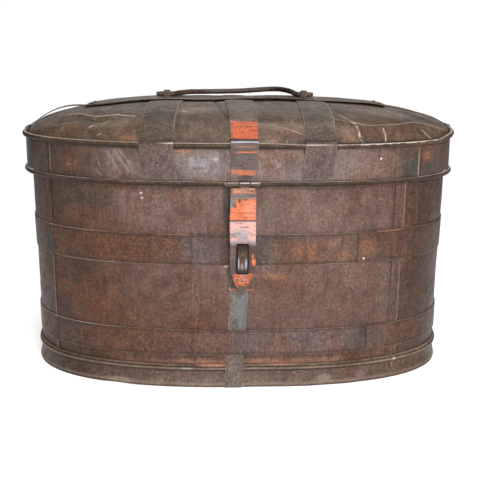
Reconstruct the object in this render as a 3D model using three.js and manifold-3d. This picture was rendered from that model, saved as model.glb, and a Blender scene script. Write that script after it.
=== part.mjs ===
// An oval sheet-metal case with a domed hinged lid, a hasp over a staple, and a bail handle on the ridge.
// Millimetres. X runs to the right along the case, Y to the back, Z up. The origin is the middle of the base.

import * as THREE from "three";
import { mergeVertices } from "three/addons/utils/BufferGeometryUtils.js";
import Module from "manifold-3d";

const wasm = await Module();
wasm.setup();

// The plan outline of the body wall's outer face, a superellipse.
const bodyHalfWidth = 269.5;
const bodyHalfDepth = 163.5;
const outlinePower = 2.56;
const outlineSides = 52;
const wallTaper = 4.2; // how much further in the wall stands at the floor than at its top

const sheet = 0.8; // thickness of the case's and lid's sheet metal
const strapSheet = 1.2; // thickness of the straps, plates and hinge leaves
const seat = 0.3; // gap between two pieces that are riveted or folded together

// Heights.
const rimHeight = 297.6; // the roll round the lid's top edge
const lidDrop = 44;
const beadHeight = rimHeight - lidDrop; // the lid's lower bead, level with the hinges
const wallTop = rimHeight - 8;
const bottomHeight = 24.5;
const skirtFoot = beadHeight + 3.3;
const domeEdgeHeight = rimHeight - 1.6;
const domeRise = 42;
const domeRimPower = 3;

// Distances out from the wall's outer face.
const skirtStandoff = 4.2; // to the lid skirt's inner face
const beadStandoff = 6.2; // to the middle of the lid's bead
const beadRadius = 2.8;
const rimStandoff = 6.8; // to the middle of the rim roll
const rimRadius = 3.4;
const domeStandoff = rimStandoff - rimRadius - seat;
const overRoll = rimRadius + 2 * seat; // radius of a strap's inner face where it goes over the rim roll

// Bands round the body.
const bandSheet = 1.0;
const bandPlace = (share) => share * bodyHalfWidth;
const upperBand = { bottom: 154.5, top: 192.5, joint: bandPlace(0.594), lap: [0.514, 0.6698].map(bandPlace) };
const lowerBand = { bottom: 41, top: 73.6, joint: bandPlace(0.616), lap: [0.571, 0.6635].map(bandPlace) };
const bandRamp = 2;

// Standing seams of the wall.
const seamTop = beadHeight - 9.6;
const seamFoot = bottomHeight + 4.5;
const seamWidth = 6;
const seams = [
  { name: "seam_left", x: -0.8757 * bodyHalfWidth, side: -1, width: seamWidth },
  { name: "seam_front", x: -0.2152 * bodyHalfWidth, side: -1, width: seamWidth },
  { name: "seam_right", x: 0.7013 * bodyHalfWidth, side: -1, width: 1.9 * seamWidth },
  { name: "seam_back", x: 0.1484 * bodyHalfWidth, side: 1, width: seamWidth },
];

// Base.
const baseBeadRadius = 3.5;
const baseSkirtTop = bottomHeight - baseBeadRadius - 0.2;
const footWidth = 8; // the turned-in foot under the base skirt
const footSheet = 1;
const bodyRimRadius = 2.7;

// Straps over the lid: the left and right edge at the front rim, and from the ridge back.
const strapLeft = { front: [-120.9, -81.4], back: [-113.3, -72.4] };
const strapRight = { front: [69.8, 106.4], back: [72.4, 108.3] };
const strapCentre = { front: [-15.8, 16.2], back: [-21.4, 15.5] };
const strapFoot = beadHeight + 5;

// Hinges at the back.
const hingeStandoff = 13.1; // from the wall's outer face at the middle of the back to the pins
const knuckleRadius = 4.2;
const hingePinRadius = 2;
const pinClearance = 0.3;
const knuckleGap = 0.4;
const leafBottom = upperBand.top + 5.5;
const leafBend = beadHeight - 13.6;
// Where a leaf's faces run into its knuckle: in from the pin's axis, and up or down in knuckle radii.
const leafOuter = { inward: 0.3, share: 0.96 };
const leafInner = { inward: 1.6, share: 0.7 };

// Hasp and staple.
const staple = { left: -7.3, right: 5.1, bottom: 147.3, top: 182.4, reach: 16, thickness: 2.2 };
const haspKnuckleRadius = 3;
const haspPinRadius = 1.4;
const haspKnuckle = [-2.2, 9.8];
const hasp = { left: -16, right: 14.5, thickness: 1.5, tipX: -3 };
// Rows down the hasp: distance of its back face out from the wall, height, left and right edge.
const haspRows = [
  [7.5, beadHeight - 1, ...haspKnuckle],
  [7.6, beadHeight - 3.6, ...haspKnuckle],
  [7.6, beadHeight - 4.2, hasp.left, hasp.right],
  [7, staple.top + 3.6, hasp.left, hasp.right],
  [5.6, staple.bottom + 1.7, hasp.left, hasp.right],
  [5.3, staple.bottom - 14.5, hasp.tipX - 9, hasp.tipX + 9],
  [5.2, staple.bottom - 26.6, hasp.tipX - 3, hasp.tipX + 3],
];
const slotRoom = 1; // between the staple and the hasp's slot
const stapleBend = { straight: 0.6, out: 0.92, up: 0.72 }; // shares of its reach and of half its height
const staplePlate = { left: -16.8, right: 12.8, bottom: staple.bottom - 23.3, top: staple.top + 7.6 };
const frontStrap = { width: 22, topLeft: -14, footLeft: -21.9, top: upperBand.bottom - 2.5 };

// Ridge.
const ridgePlate = { left: -200, right: 190, halfDepth: 27 };
const ridgeStrapWidth = 14;
const ridgeStrapBow = 4;
const ridgeStrapLap = 15; // how far it runs in under the ridge plate

// Bail handle.
const handleRadius = 3.5;
const handleClearance = 0.4;
const eyeSlack = 0.2; // how much wider than the bail's clearance the eyes are
const eyeWidth = 8;
const eyeFoot = 11;
const eyeLeft = -95;
const eyeRight = 84.5;

// Rivets.
const rivetRadius = 3;
const rivetHeight = 1.6;
const strapRivetHeight = THREE.MathUtils.lerp(strapFoot, rimHeight, 0.413);
const ridgeRivetInset = 9;

const rustyBrown = new THREE.MeshStandardMaterial({ color: 0x4a332b, roughness: 0.62, metalness: 0.55 });
const oliveBrown = new THREE.MeshStandardMaterial({ color: 0x51463b, roughness: 0.55, metalness: 0.6 });
const strapBrown = new THREE.MeshStandardMaterial({ color: 0x54473f, roughness: 0.5, metalness: 0.65 });
const bandBrown = new THREE.MeshStandardMaterial({ color: 0x44302a, roughness: 0.68, metalness: 0.5 });
const chippedOrange = new THREE.MeshStandardMaterial({ color: 0xa8482c, roughness: 0.55, metalness: 0.35 });
const darkSteel = new THREE.MeshStandardMaterial({ color: 0x2b2624, roughness: 0.4, metalness: 0.8 });

const outline = makeOutline();

function makeOutline() {
  const power = (value) => Math.sign(value) * Math.abs(value) ** (2 / outlinePower);
  const corners = [];
  for (let i = 0; i < outlineSides; i++) {
    const turn = (2 * Math.PI * i) / outlineSides;
    corners.push(new THREE.Vector2(bodyHalfWidth * power(Math.cos(turn)), bodyHalfDepth * power(Math.sin(turn))));
  }
  return corners.map((corner, i) => {
    const before = corner.clone().sub(corners.at(i - 1)).normalize();
    const after = corners[(i + 1) % outlineSides].clone().sub(corner).normalize();
    const sum = new THREE.Vector2(before.y + after.y, -before.x - after.x);
    return { corner, out: sum.multiplyScalar(2 / sum.lengthSq()) };
  });
}

// A place on the outline. It is counted in sides from the right end, going round by the back.
function outlinePoint(place, offset, z) {
  const side = Math.floor(place);
  const a = outline[((side % outlineSides) + outlineSides) % outlineSides];
  const b = outline[(((side + 1) % outlineSides) + outlineSides) % outlineSides];
  const p = a.corner.clone().addScaledVector(a.out, offset);
  const q = b.corner.clone().addScaledVector(b.out, offset);
  p.lerp(q, place - side);
  return new THREE.Vector3(p.x, p.y, z);
}

// The place on the front (side -1) or the back (side 1) whose X is x, on the outline grown by offset.
function placeAt(x, side, offset = 0) {
  const half = outlineSides / 2;
  const first = side > 0 ? 0 : half;
  for (let i = first; i < first + half; i++) {
    const a = outlinePoint(i, offset, 0).x;
    const b = outlinePoint(i + 1, offset, 0).x;
    if ((x - a) * (x - b) <= 0) return i + (x - a) / (b - a);
  }
  throw new Error(`no place at x ${x}`);
}

function facePoint(x, side, offset, z) {
  return outlinePoint(placeAt(x, side, offset), offset, z);
}

// The wall leans in towards the floor.
function wallFace(z) {
  return -wallTaper * (1 - z / wallTop);
}

function placesBetween(from, to, extra = []) {
  const inner = extra.filter((place) => place > from && place < to);
  for (let i = Math.ceil(from); i <= to; i++) {
    if (i - from > 0.05 && to - i > 0.05 && inner.every((place) => Math.abs(place - i) > 0.05)) inner.push(i);
  }
  return [from, ...inner.sort((a, b) => a - b), to];
}

function solid(points, faces) {
  const geometry = new THREE.BufferGeometry();
  geometry.setAttribute("position", new THREE.Float32BufferAttribute(points.flatMap((p) => [p.x, p.y, p.z]), 3));
  geometry.setIndex(faces.flat());
  const merged = mergeVertices(geometry, 1e-4);
  const index = [...merged.index.array];
  const kept = [];
  for (let i = 0; i < index.length; i += 3) {
    const [a, b, c] = index.slice(i, i + 3);
    if (a !== b && b !== c && c !== a) kept.push([a, b, c]);
  }
  const at = (i) => new THREE.Vector3().fromBufferAttribute(merged.attributes.position, i);
  const volume = kept.reduce((sum, [a, b, c]) => sum + at(a).dot(at(b).cross(at(c))), 0);
  merged.setIndex((volume < 0 ? kept.map(([a, b, c]) => [a, c, b]) : kept).flat());
  return merged;
}

// A closed body through a row of sections. Point j of a section faces point count - 1 - j across it.
function loft(sections, closed = false) {
  const count = sections[0].length;
  const faces = [];
  const quad = (a, b, c, d) => faces.push([a, b, c], [a, c, d]);
  const spans = closed ? sections.length : sections.length - 1;
  for (let i = 0; i < spans; i++) {
    const next = (i + 1) % sections.length;
    for (let j = 0; j < count; j++) {
      const k = (j + 1) % count;
      quad(i * count + j, i * count + k, next * count + k, next * count + j);
    }
  }
  if (!closed) {
    const last = (sections.length - 1) * count;
    for (let j = 0; j < count / 2 - 1; j++) {
      quad(count - 1 - j, count - 2 - j, j + 1, j);
      quad(last + j, last + j + 1, last + count - 2 - j, last + count - 1 - j);
    }
  }
  return solid(sections.flat(), faces);
}

// A profile of [distance out, height] pairs carried round the outline.
function carried(profile, places, closed = false, lift = () => 0) {
  return loft(places.map((place) => profile.map(([out, z]) => outlinePoint(place, out + lift(place), z))), closed);
}

const allRound = [...Array(outlineSides).keys()];

function sheetProfile(inner, thickness, bottom, top, lean = () => 0) {
  return [
    [inner + thickness + lean(bottom), bottom],
    [inner + thickness + lean(top), top],
    [inner + lean(top), top],
    [inner + lean(bottom), bottom],
  ];
}

function rollProfile(out, z, radius, sides) {
  const profile = [];
  for (let i = 0; i < sides; i++) {
    const turn = (2 * Math.PI * (i + 0.5)) / sides;
    profile.push([out + radius * Math.cos(turn), z + radius * Math.sin(turn)]);
  }
  return profile;
}

function toSolid(geometry) {
  const bare = geometry.clone();
  bare.deleteAttribute("normal");
  bare.deleteAttribute("uv");
  const merged = mergeVertices(bare, 1e-4);
  const vertProperties = new Float32Array(merged.attributes.position.array);
  const triVerts = new Uint32Array(merged.index.array);
  return new wasm.Manifold(new wasm.Mesh({ numProp: 3, vertProperties, triVerts }));
}

function fromSolid(body) {
  const mesh = body.getMesh();
  const geometry = new THREE.BufferGeometry();
  geometry.setAttribute("position", new THREE.Float32BufferAttribute(mesh.vertProperties, 3));
  geometry.setIndex([...mesh.triVerts]);
  return geometry;
}

function rodAlongX(left, right, radius, y, z, sides = 12) {
  const geometry = new THREE.CylinderGeometry(radius, radius, right - left, sides);
  geometry.rotateZ(Math.PI / 2);
  geometry.translate((left + right) / 2, y, z);
  return geometry;
}

function block(left, right, front, back, bottom, top) {
  const geometry = new THREE.BoxGeometry(right - left, back - front, top - bottom);
  geometry.translate((left + right) / 2, (front + back) / 2, (bottom + top) / 2);
  return geometry;
}

const model = new THREE.Group();

function add(name, geometry, material) {
  const mesh = new THREE.Mesh(geometry, material);
  mesh.name = name;
  model.add(mesh);
}

// The domed head of a rivet, standing on the point and turned to face out.
function rivet(name, point, out) {
  const profile = [
    [0, 0],
    [rivetRadius, 0],
    [0.75 * rivetRadius, 0.7 * rivetHeight],
    [0, rivetHeight],
  ].map(([x, y]) => new THREE.Vector2(x, y));
  const head = fromSolid(toSolid(new THREE.LatheGeometry(profile, 10)));
  head.applyQuaternion(new THREE.Quaternion().setFromUnitVectors(new THREE.Vector3(0, 1, 0), out));
  head.translate(point.x, point.y, point.z);
  add(name, head, darkSteel);
}

// A rivet through what lies on the outline grown by offset.
function faceRivet(name, x, side, offset, z) {
  const place = placeAt(x, side, offset);
  const point = outlinePoint(place, offset, z);
  rivet(name, point, outlinePoint(place, offset + 1, z).sub(point).normalize());
}

// The dome over the lid. across runs from -1 at the left end to 1, along from -1 at the front rim to 1 at the back.
function domePoint(across, along, lift) {
  const inside = 1 - Math.abs(across) ** outlinePower;
  const radius = (Math.abs(across) ** outlinePower + Math.abs(along) ** outlinePower * inside) ** (1 / outlinePower);
  return new THREE.Vector3(
    across * (bodyHalfWidth + domeStandoff + lift),
    along * (bodyHalfDepth + domeStandoff + lift) * inside ** (1 / outlinePower),
    domeEdgeHeight + (domeRise + lift) * Math.sqrt(Math.max(0, 1 - radius ** domeRimPower)),
  );
}

const acrossAt = (x) => x / (bodyHalfWidth + domeStandoff);
const domeRows = [-1, -0.96, -0.88, -0.76, -0.6, -0.35, 0, 0.35, 0.6, 0.76, 0.88, 0.96, 1];

// The wall, in panels from seam to seam.
function walls() {
  const cuts = seams.map(({ x, side }) => placeAt(x, side));
  const [left, front, right, back] = cuts;
  const panels = [
    ["wall_front_left", left, front],
    ["wall_front_right", front, right],
    ["wall_right_end", right, back + outlineSides],
    ["wall_left_end", back, left],
  ];
  const halfGap = placeAt(seams[1].x + seat / 2, -1) - front;
  const profile = sheetProfile(-sheet, sheet, footSheet + seat, wallTop, wallFace);
  for (const [name, from, to] of panels) {
    add(name, carried(profile, placesBetween(from + halfGap, to - halfGap)), rustyBrown);
  }
  for (const { name, x, side, width } of seams) {
    const places = [x - width / 2, x, x + width / 2].map((each) => placeAt(each, side));
    const section = (z) => [
      ...places.map((place) => outlinePoint(place, seat + bandSheet + wallFace(z), z)),
      ...places.toReversed().map((place) => outlinePoint(place, seat + wallFace(z), z)),
    ];
    add(name, loft([section(seamFoot), section(seamTop)]), rustyBrown);
  }
}

// Bands lie on the wall and rise over the seams, and the lower one over the front strap.
function bands() {
  const crossings = seams.map(({ x, side, width }) => ({ x, side, half: width / 2 }));
  const strapMiddle = frontStrapLeft((lowerBand.bottom + lowerBand.top) / 2) + frontStrap.width / 2;
  const overStrap = { x: strapMiddle, side: -1, half: frontStrap.width / 2 + bandRamp };
  const makeBand = (name, band, crossed) => {
    const rise = (place) => {
      const point = outlinePoint(place, 0, 0);
      const steps = crossed.map(({ x, side, half }) => {
        if (point.y * side < 0) return 0;
        return THREE.MathUtils.clamp(1 - (Math.abs(point.x - x) - half) / bandRamp, 0, 1);
      });
      return Math.max(...steps) * (bandSheet + seat);
    };
    const bends = crossed.flatMap(({ x, side, half }) => {
      const spots = [half + bandRamp, half, -half, -half - bandRamp];
      return spots.map((spot) => placeAt(x + spot, side));
    });
    const joint = placeAt(band.joint, -1);
    const gap = placeAt(band.joint + seat, -1) - joint;
    const wrapped = bends.map((place) => (place < joint ? place + outlineSides : place));
    const places = placesBetween(joint + gap, joint + outlineSides, wrapped);
    const profile = sheetProfile(seat, bandSheet, band.bottom, band.top, wallFace);
    add(name, carried(profile, places, false, rise), bandBrown);

    const lapPlaces = placesBetween(placeAt(band.lap[0], -1), placeAt(band.lap[1], -1));
    const lapProfile = sheetProfile(2 * seat + bandSheet, bandSheet, band.bottom, band.top, wallFace);
    add(`${name}_lap`, carried(lapProfile, lapPlaces), bandBrown);
  };
  makeBand("upper_band", upperBand, crossings);
  makeBand("lower_band", lowerBand, [...crossings, overStrap]);
}

function base() {
  const skirt = sheetProfile(seat, sheet, footSheet + seat, baseSkirtTop, wallFace);
  add("base_skirt", carried(skirt, allRound, true), rustyBrown);
  const foot = sheetProfile(seat + sheet - footWidth + wallFace(0), footWidth, 0, footSheet);
  add("foot_ring", carried(foot, allRound, true), rustyBrown);

  const bead = [-90, -50, -17, 17, 50, 90].map((degrees) => {
    const turn = THREE.MathUtils.degToRad(degrees);
    const z = bottomHeight + baseBeadRadius * Math.sin(turn);
    return [seat + baseBeadRadius * Math.cos(turn) + wallFace(z), z];
  });
  add("base_bead", carried(bead, allRound, true), rustyBrown);

  const plateEdge = -sheet - seat + wallFace(bottomHeight - sheet);
  add("bottom_plate", fromSolid(toSolid(prism(plateEdge, bottomHeight - sheet, bottomHeight))), oliveBrown);

  const wire = rollProfile(-sheet - seat - bodyRimRadius, wallTop - bodyRimRadius, bodyRimRadius, 6);
  add("body_rim_wire", carried(wire, allRound, true), darkSteel);
}

// The plan outline grown by offset, from one height to another.
function prism(offset, bottom, top) {
  const shape = new THREE.Shape(allRound.map((place) => {
    const point = outlinePoint(place, offset, 0);
    return new THREE.Vector2(point.x, point.y);
  }));
  const geometry = new THREE.ExtrudeGeometry(shape, { depth: top - bottom, bevelEnabled: false });
  geometry.translate(0, 0, bottom);
  return geometry;
}

function frontStrapLeft(z) {
  return frontStrap.footLeft + ((frontStrap.topLeft - frontStrap.footLeft) * z) / frontStrap.top;
}

// A strap up the front of the body, over the base skirt and bead and under the lower band.
function bodyStrap() {
  const overSkirt = 2 * seat + sheet;
  const overBead = 2 * seat + baseBeadRadius;
  const path = [
    [overSkirt, seat],
    [overSkirt, bottomHeight - baseBeadRadius - 2],
    [overBead, bottomHeight - 2],
    [overBead, bottomHeight + 2],
    [seat, bottomHeight + baseBeadRadius + 4],
    [seat, frontStrap.top],
  ];
  const sections = path.map(([out, z]) => {
    const xs = [frontStrapLeft(z), frontStrapLeft(z) + frontStrap.width];
    const face = (each, thickness) => facePoint(each, -1, out + thickness + wallFace(z), z);
    return [face(xs[0], bandSheet), face(xs[1], bandSheet), face(xs[1], 0), face(xs[0], 0)];
  });
  add("front_strap", loft(sections), strapBrown);
}

const plateFace = 2 * seat + bandSheet; // the staple plate's inner face, over the upper band and the strap
const stapleFoot = plateFace + strapSheet + seat;

function stapleParts() {
  const { left, right, bottom, top } = staplePlate;
  const plateRow = (z) => {
    const face = (x, out) => facePoint(x, -1, out + wallFace(z), z);
    const outer = plateFace + strapSheet;
    return [face(left, outer), face(right, outer), face(right, plateFace), face(left, plateFace)];
  };
  add("staple_plate", loft([plateRow(bottom), plateRow((bottom + top) / 2), plateRow(top)]), strapBrown);

  const middle = (staple.bottom + staple.top) / 2;
  const half = (staple.top - staple.bottom) / 2;
  const { straight, out: bendOut, up } = stapleBend;
  const loop = (shrink) => [
    [0, half - shrink],
    [straight * staple.reach, half - shrink],
    [bendOut * staple.reach - shrink, up * (half - shrink)],
    [staple.reach - shrink, 0],
    [bendOut * staple.reach - shrink, -up * (half - shrink)],
    [straight * staple.reach, -half + shrink],
    [0, -half + shrink],
  ];
  const contour = [...loop(0), ...loop(staple.thickness).toReversed()];
  const side = (x) => contour.map(([out, z]) => {
    const wall = -bodyHalfDepth - wallFace(middle) - stapleFoot;
    return new THREE.Vector3(x, wall - out, middle + z);
  });
  add("staple", loft([side(staple.left), side(staple.right)]), darkSteel);
}

// Hinge axes.
const hingeY = bodyHalfDepth + hingeStandoff;
const haspY = -bodyHalfDepth - beadStandoff;
const haspOpening = [strapCentre.front[0] - knuckleGap, strapCentre.front[1] + knuckleGap];

function thirds([left, right]) {
  const third = (right - left) / 3;
  return [left, left + third, right - third, right];
}

// The row of a leaf that runs into its knuckle, from above (way 1) or from below (way -1).
function knuckleRow(xs, way) {
  const at = (x, { inward, share }) => {
    return new THREE.Vector3(x, hingeY - inward, beadHeight + way * share * knuckleRadius);
  };
  return [...xs.map((x) => at(x, leafOuter)), ...xs.toReversed().map((x) => at(x, leafInner))];
}

function hingeBody(name, strap) {
  const [, second, third] = thirds(strap);
  const xs = columnsOf(strap);
  const wallRow = (z) => [
    ...xs.map((x) => facePoint(x, 1, seat + strapSheet + wallFace(z), z)),
    ...xs.toReversed().map((x) => facePoint(x, 1, seat + wallFace(z), z)),
  ];
  const leaf = toSolid(loft([wallRow(leafBottom), wallRow(leafBend), knuckleRow(xs, -1)]));
  const ends = [strap[0] - 1, strap[1] + 1];
  const sweep = knuckleRadius + knuckleGap;
  const tube = toSolid(rodAlongX(second + knuckleGap, third - knuckleGap, knuckleRadius, hingeY, beadHeight));
  const bore = toSolid(rodAlongX(ends[0], ends[1], hingePinRadius + pinClearance, hingeY, beadHeight));
  const leftRoom = toSolid(rodAlongX(ends[0], second + knuckleGap, sweep, hingeY, beadHeight));
  const rightRoom = toSolid(rodAlongX(third - knuckleGap, ends[1], sweep, hingeY, beadHeight));
  add(name, fromSolid(leaf.subtract(leftRoom).subtract(rightRoom).add(tube).subtract(bore)), strapBrown);
}

function hinges() {
  hingeBody("hinge_leaf_left", strapLeft.back);
  hingeBody("hinge_leaf_right", strapRight.back);
  const pin = (name, [left, right]) => {
    const shaft = rodAlongX(left, right, hingePinRadius, hingeY, beadHeight, 10);
    const heads = [left - 1, right].map((x) => rodAlongX(x, x + 1, 1.5 * hingePinRadius, hingeY, beadHeight, 10));
    const joined = heads.reduce((body, head) => body.add(toSolid(head)), toSolid(shaft));
    add(name, fromSolid(joined), darkSteel);
  };
  const proud = ([left, right]) => [left - seat, right + seat];
  pin("hinge_pin_left", proud(strapLeft.back));
  pin("hinge_pin_right", proud(strapRight.back));

  const leaves = { left: strapLeft.back, right: strapRight.back };
  for (const [name, strap] of Object.entries(leaves)) {
    const middle = (strap[0] + strap[1]) / 2;
    for (const [level, share] of Object.entries({ lower: 0.21, upper: 0.79 })) {
      const z = THREE.MathUtils.lerp(leafBottom, leafBend, share);
      const face = 2 * seat + strapSheet + wallFace(z);
      faceRivet(`hinge_rivet_${name}_${level}`, middle, 1, face, z);
    }
  }
}

function dome() {
  const joints = [strapLeft, strapCentre, strapRight].map(({ front, back }) => {
    return (front[0] + front[1] + back[0] + back[1]) / 4;
  });
  const columns = outline
    .slice(0, outlineSides / 2 + 1)
    .map(({ corner }) => corner.x / bodyHalfWidth)
    .toReversed();
  const halfGap = acrossAt(seat / 2);
  const edges = [-1, ...joints.map(acrossAt), 1];
  const names = ["dome_left_end", "dome_middle_left", "dome_middle_right", "dome_right_end"];
  names.forEach((name, i) => {
    const from = i === 0 ? -1 : edges[i] + halfGap;
    const to = i === names.length - 1 ? 1 : edges[i + 1] - halfGap;
    const near = 0.004;
    const across = [from, ...columns.filter((each) => each > from + near && each < to - near), to];
    const sections = domeRows.map((along) => [
      ...across.map((each) => domePoint(each, along, 0)),
      ...across.toReversed().map((each) => domePoint(each, along, -sheet)),
    ]);
    add(name, loft(sections), oliveBrown);
  });
}

function lidEdges() {
  const half = outlineSides / 2;
  const gap = placeAt(seat, -1) - placeAt(0, -1);
  const profile = sheetProfile(skirtStandoff, sheet, skirtFoot, rimHeight - rimRadius - seat);
  add("lid_skirt_back", carried(profile, placesBetween(gap, half - gap)), rustyBrown);
  add("lid_skirt_front", carried(profile, placesBetween(half + gap, outlineSides - gap)), rustyBrown);
  add("lid_rim", carried(rollProfile(rimStandoff, rimHeight, rimRadius, 8), allRound, true), oliveBrown);

  const [openLeft, openRight] = haspOpening.map((x) => placeAt(x, -1, beadStandoff));
  const beadPlaces = placesBetween(openRight, openLeft + outlineSides);
  add("lid_bead", carried(rollProfile(beadStandoff, beadHeight, beadRadius, 6), beadPlaces), oliveBrown);
}

// The columns of a strap, from its left edge to its right one.
function columnsOf([left, right]) {
  return [0, 0.25, 0.5, 0.75, 1].map((share) => THREE.MathUtils.lerp(left, right, share));
}

// A strap's rows from its foot on the front skirt, over the rim roll and the dome, to its foot on the back skirt.
function lidStrap(strap, lastRows) {
  const front = columnsOf(strap.front);
  const back = columnsOf(strap.back);
  const inner = skirtStandoff + sheet + seat;
  const around = [-25, 15, 55, 95].map((degrees) => {
    const turn = THREE.MathUtils.degToRad(degrees);
    const at = (radius) => [rimStandoff + radius * Math.cos(turn), rimHeight + radius * Math.sin(turn)];
    return [at(overRoll), at(overRoll + strapSheet)];
  });
  const skirtRow = (z) => [[inner, z], [inner + strapSheet, z]];
  const edgeRows = [skirtRow(strapFoot), skirtRow(rimHeight - 3 * rimRadius), ...around];
  const edgeSection = (xs, side, [low, high]) => [
    ...xs.map((x) => facePoint(x, side, high[0], high[1])),
    ...xs.toReversed().map((x) => facePoint(x, side, low[0], low[1])),
  ];
  const domeSection = (along) => {
    const share = THREE.MathUtils.clamp(1 + along, 0, 1);
    const xs = front.map((x, i) => THREE.MathUtils.lerp(x, back[i], share));
    return [
      ...xs.map((x) => domePoint(acrossAt(x), along, seat + strapSheet)),
      ...xs.toReversed().map((x) => domePoint(acrossAt(x), along, seat)),
    ];
  };
  const backRows = edgeRows.toReversed().map((row) => edgeSection(back, 1, row));
  return loft([
    ...edgeRows.map((row) => edgeSection(front, -1, row)),
    ...domeRows.slice(1, -1).map(domeSection),
    ...(lastRows ? [...backRows.slice(0, -1), ...lastRows] : backRows),
  ]);
}

function lidStraps() {
  const sweep = knuckleRadius + knuckleGap;
  const hingedStrap = (name, strap) => {
    const [left, right] = strap.back;
    const [, second, third] = thirds(strap.back);
    const xs = columnsOf(strap.back);
    const inner = skirtStandoff + sheet + seat;
    const bend = beadHeight + 3.2 * knuckleRadius;
    const bendRow = [
      ...xs.map((x) => facePoint(x, 1, inner + strapSheet, bend)),
      ...xs.toReversed().map((x) => facePoint(x, 1, inner, bend)),
    ];
    const plate = toSolid(lidStrap(strap, [bendRow, knuckleRow(xs, 1)]));
    const room = toSolid(rodAlongX(second - knuckleGap / 2, third + knuckleGap / 2, sweep, hingeY, beadHeight));
    const bore = toSolid(rodAlongX(left - 1, right + 1, hingePinRadius + pinClearance, hingeY, beadHeight));
    const tubes = [[left, second - knuckleGap / 2], [third + knuckleGap / 2, right]];
    const joined = tubes.reduce(
      (body, [from, to]) => body.add(toSolid(rodAlongX(from, to, knuckleRadius, hingeY, beadHeight))),
      plate.subtract(room),
    );
    add(name, fromSolid(joined.subtract(bore)), strapBrown);
  };
  hingedStrap("lid_strap_left", strapLeft);
  hingedStrap("lid_strap_right", strapRight);

  const [left, right] = strapCentre.front;
  const bore = toSolid(rodAlongX(left - 1, right + 1, haspPinRadius + pinClearance, haspY, beadHeight));
  const tabTop = strapFoot + 2;
  const tabInset = 0.05;
  const inner = -bodyHalfDepth - skirtStandoff - sheet - seat;
  const ends = [[left, haspKnuckle[0] - knuckleGap], [haspKnuckle[1] + knuckleGap, right]];
  const joined = ends.reduce((body, [from, to]) => {
    const tube = toSolid(rodAlongX(from, to, haspKnuckleRadius, haspY, beadHeight));
    const tab = toSolid(block(from, to, inner - strapSheet, inner - tabInset, beadHeight + 2, tabTop));
    return body.add(tube).add(tab);
  }, toSolid(lidStrap(strapCentre)));
  add("lid_strap_centre", fromSolid(joined.subtract(bore)), chippedOrange);
  const pin = rodAlongX(left - seat, right + seat, haspPinRadius, haspY, beadHeight, 8);
  add("hasp_pin", pin, darkSteel);

  const straps = { left: strapLeft, centre: strapCentre, right: strapRight };
  const strapFace = skirtStandoff + sheet + 2 * seat + strapSheet;
  for (const [place, strap] of Object.entries(straps)) {
    const sides = { front: -1, back: 1 };
    for (const [name, side] of Object.entries(sides)) {
      const middle = (strap[name][0] + strap[name][1]) / 2;
      faceRivet(`strap_rivet_${place}_${name}`, middle, side, strapFace, strapRivetHeight);
    }
  }
}

function haspPlate() {
  const wall = -bodyHalfDepth;
  const sections = haspRows.map(([out, z, left, right]) => [
    new THREE.Vector3(left, wall - out - hasp.thickness, z),
    new THREE.Vector3(right, wall - out - hasp.thickness, z),
    new THREE.Vector3(right, wall - out, z),
    new THREE.Vector3(left, wall - out, z),
  ]);
  const plate = toSolid(loft(sections));
  const knuckle = toSolid(rodAlongX(...haspKnuckle, haspKnuckleRadius, haspY, beadHeight));
  const bore = toSolid(rodAlongX(...haspOpening, haspPinRadius + pinClearance, haspY, beadHeight));
  const slotX = [staple.left - slotRoom, staple.right + slotRoom];
  const slotZ = [staple.bottom - slotRoom, staple.top + slotRoom];
  const slot = toSolid(block(...slotX, wall - staple.reach, wall, ...slotZ));
  add("hasp", fromSolid(plate.add(knuckle).subtract(bore).subtract(slot)), chippedOrange);
}

const plateLift = 2 * seat + strapSheet;
const plateTop = plateLift + strapSheet;

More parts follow.
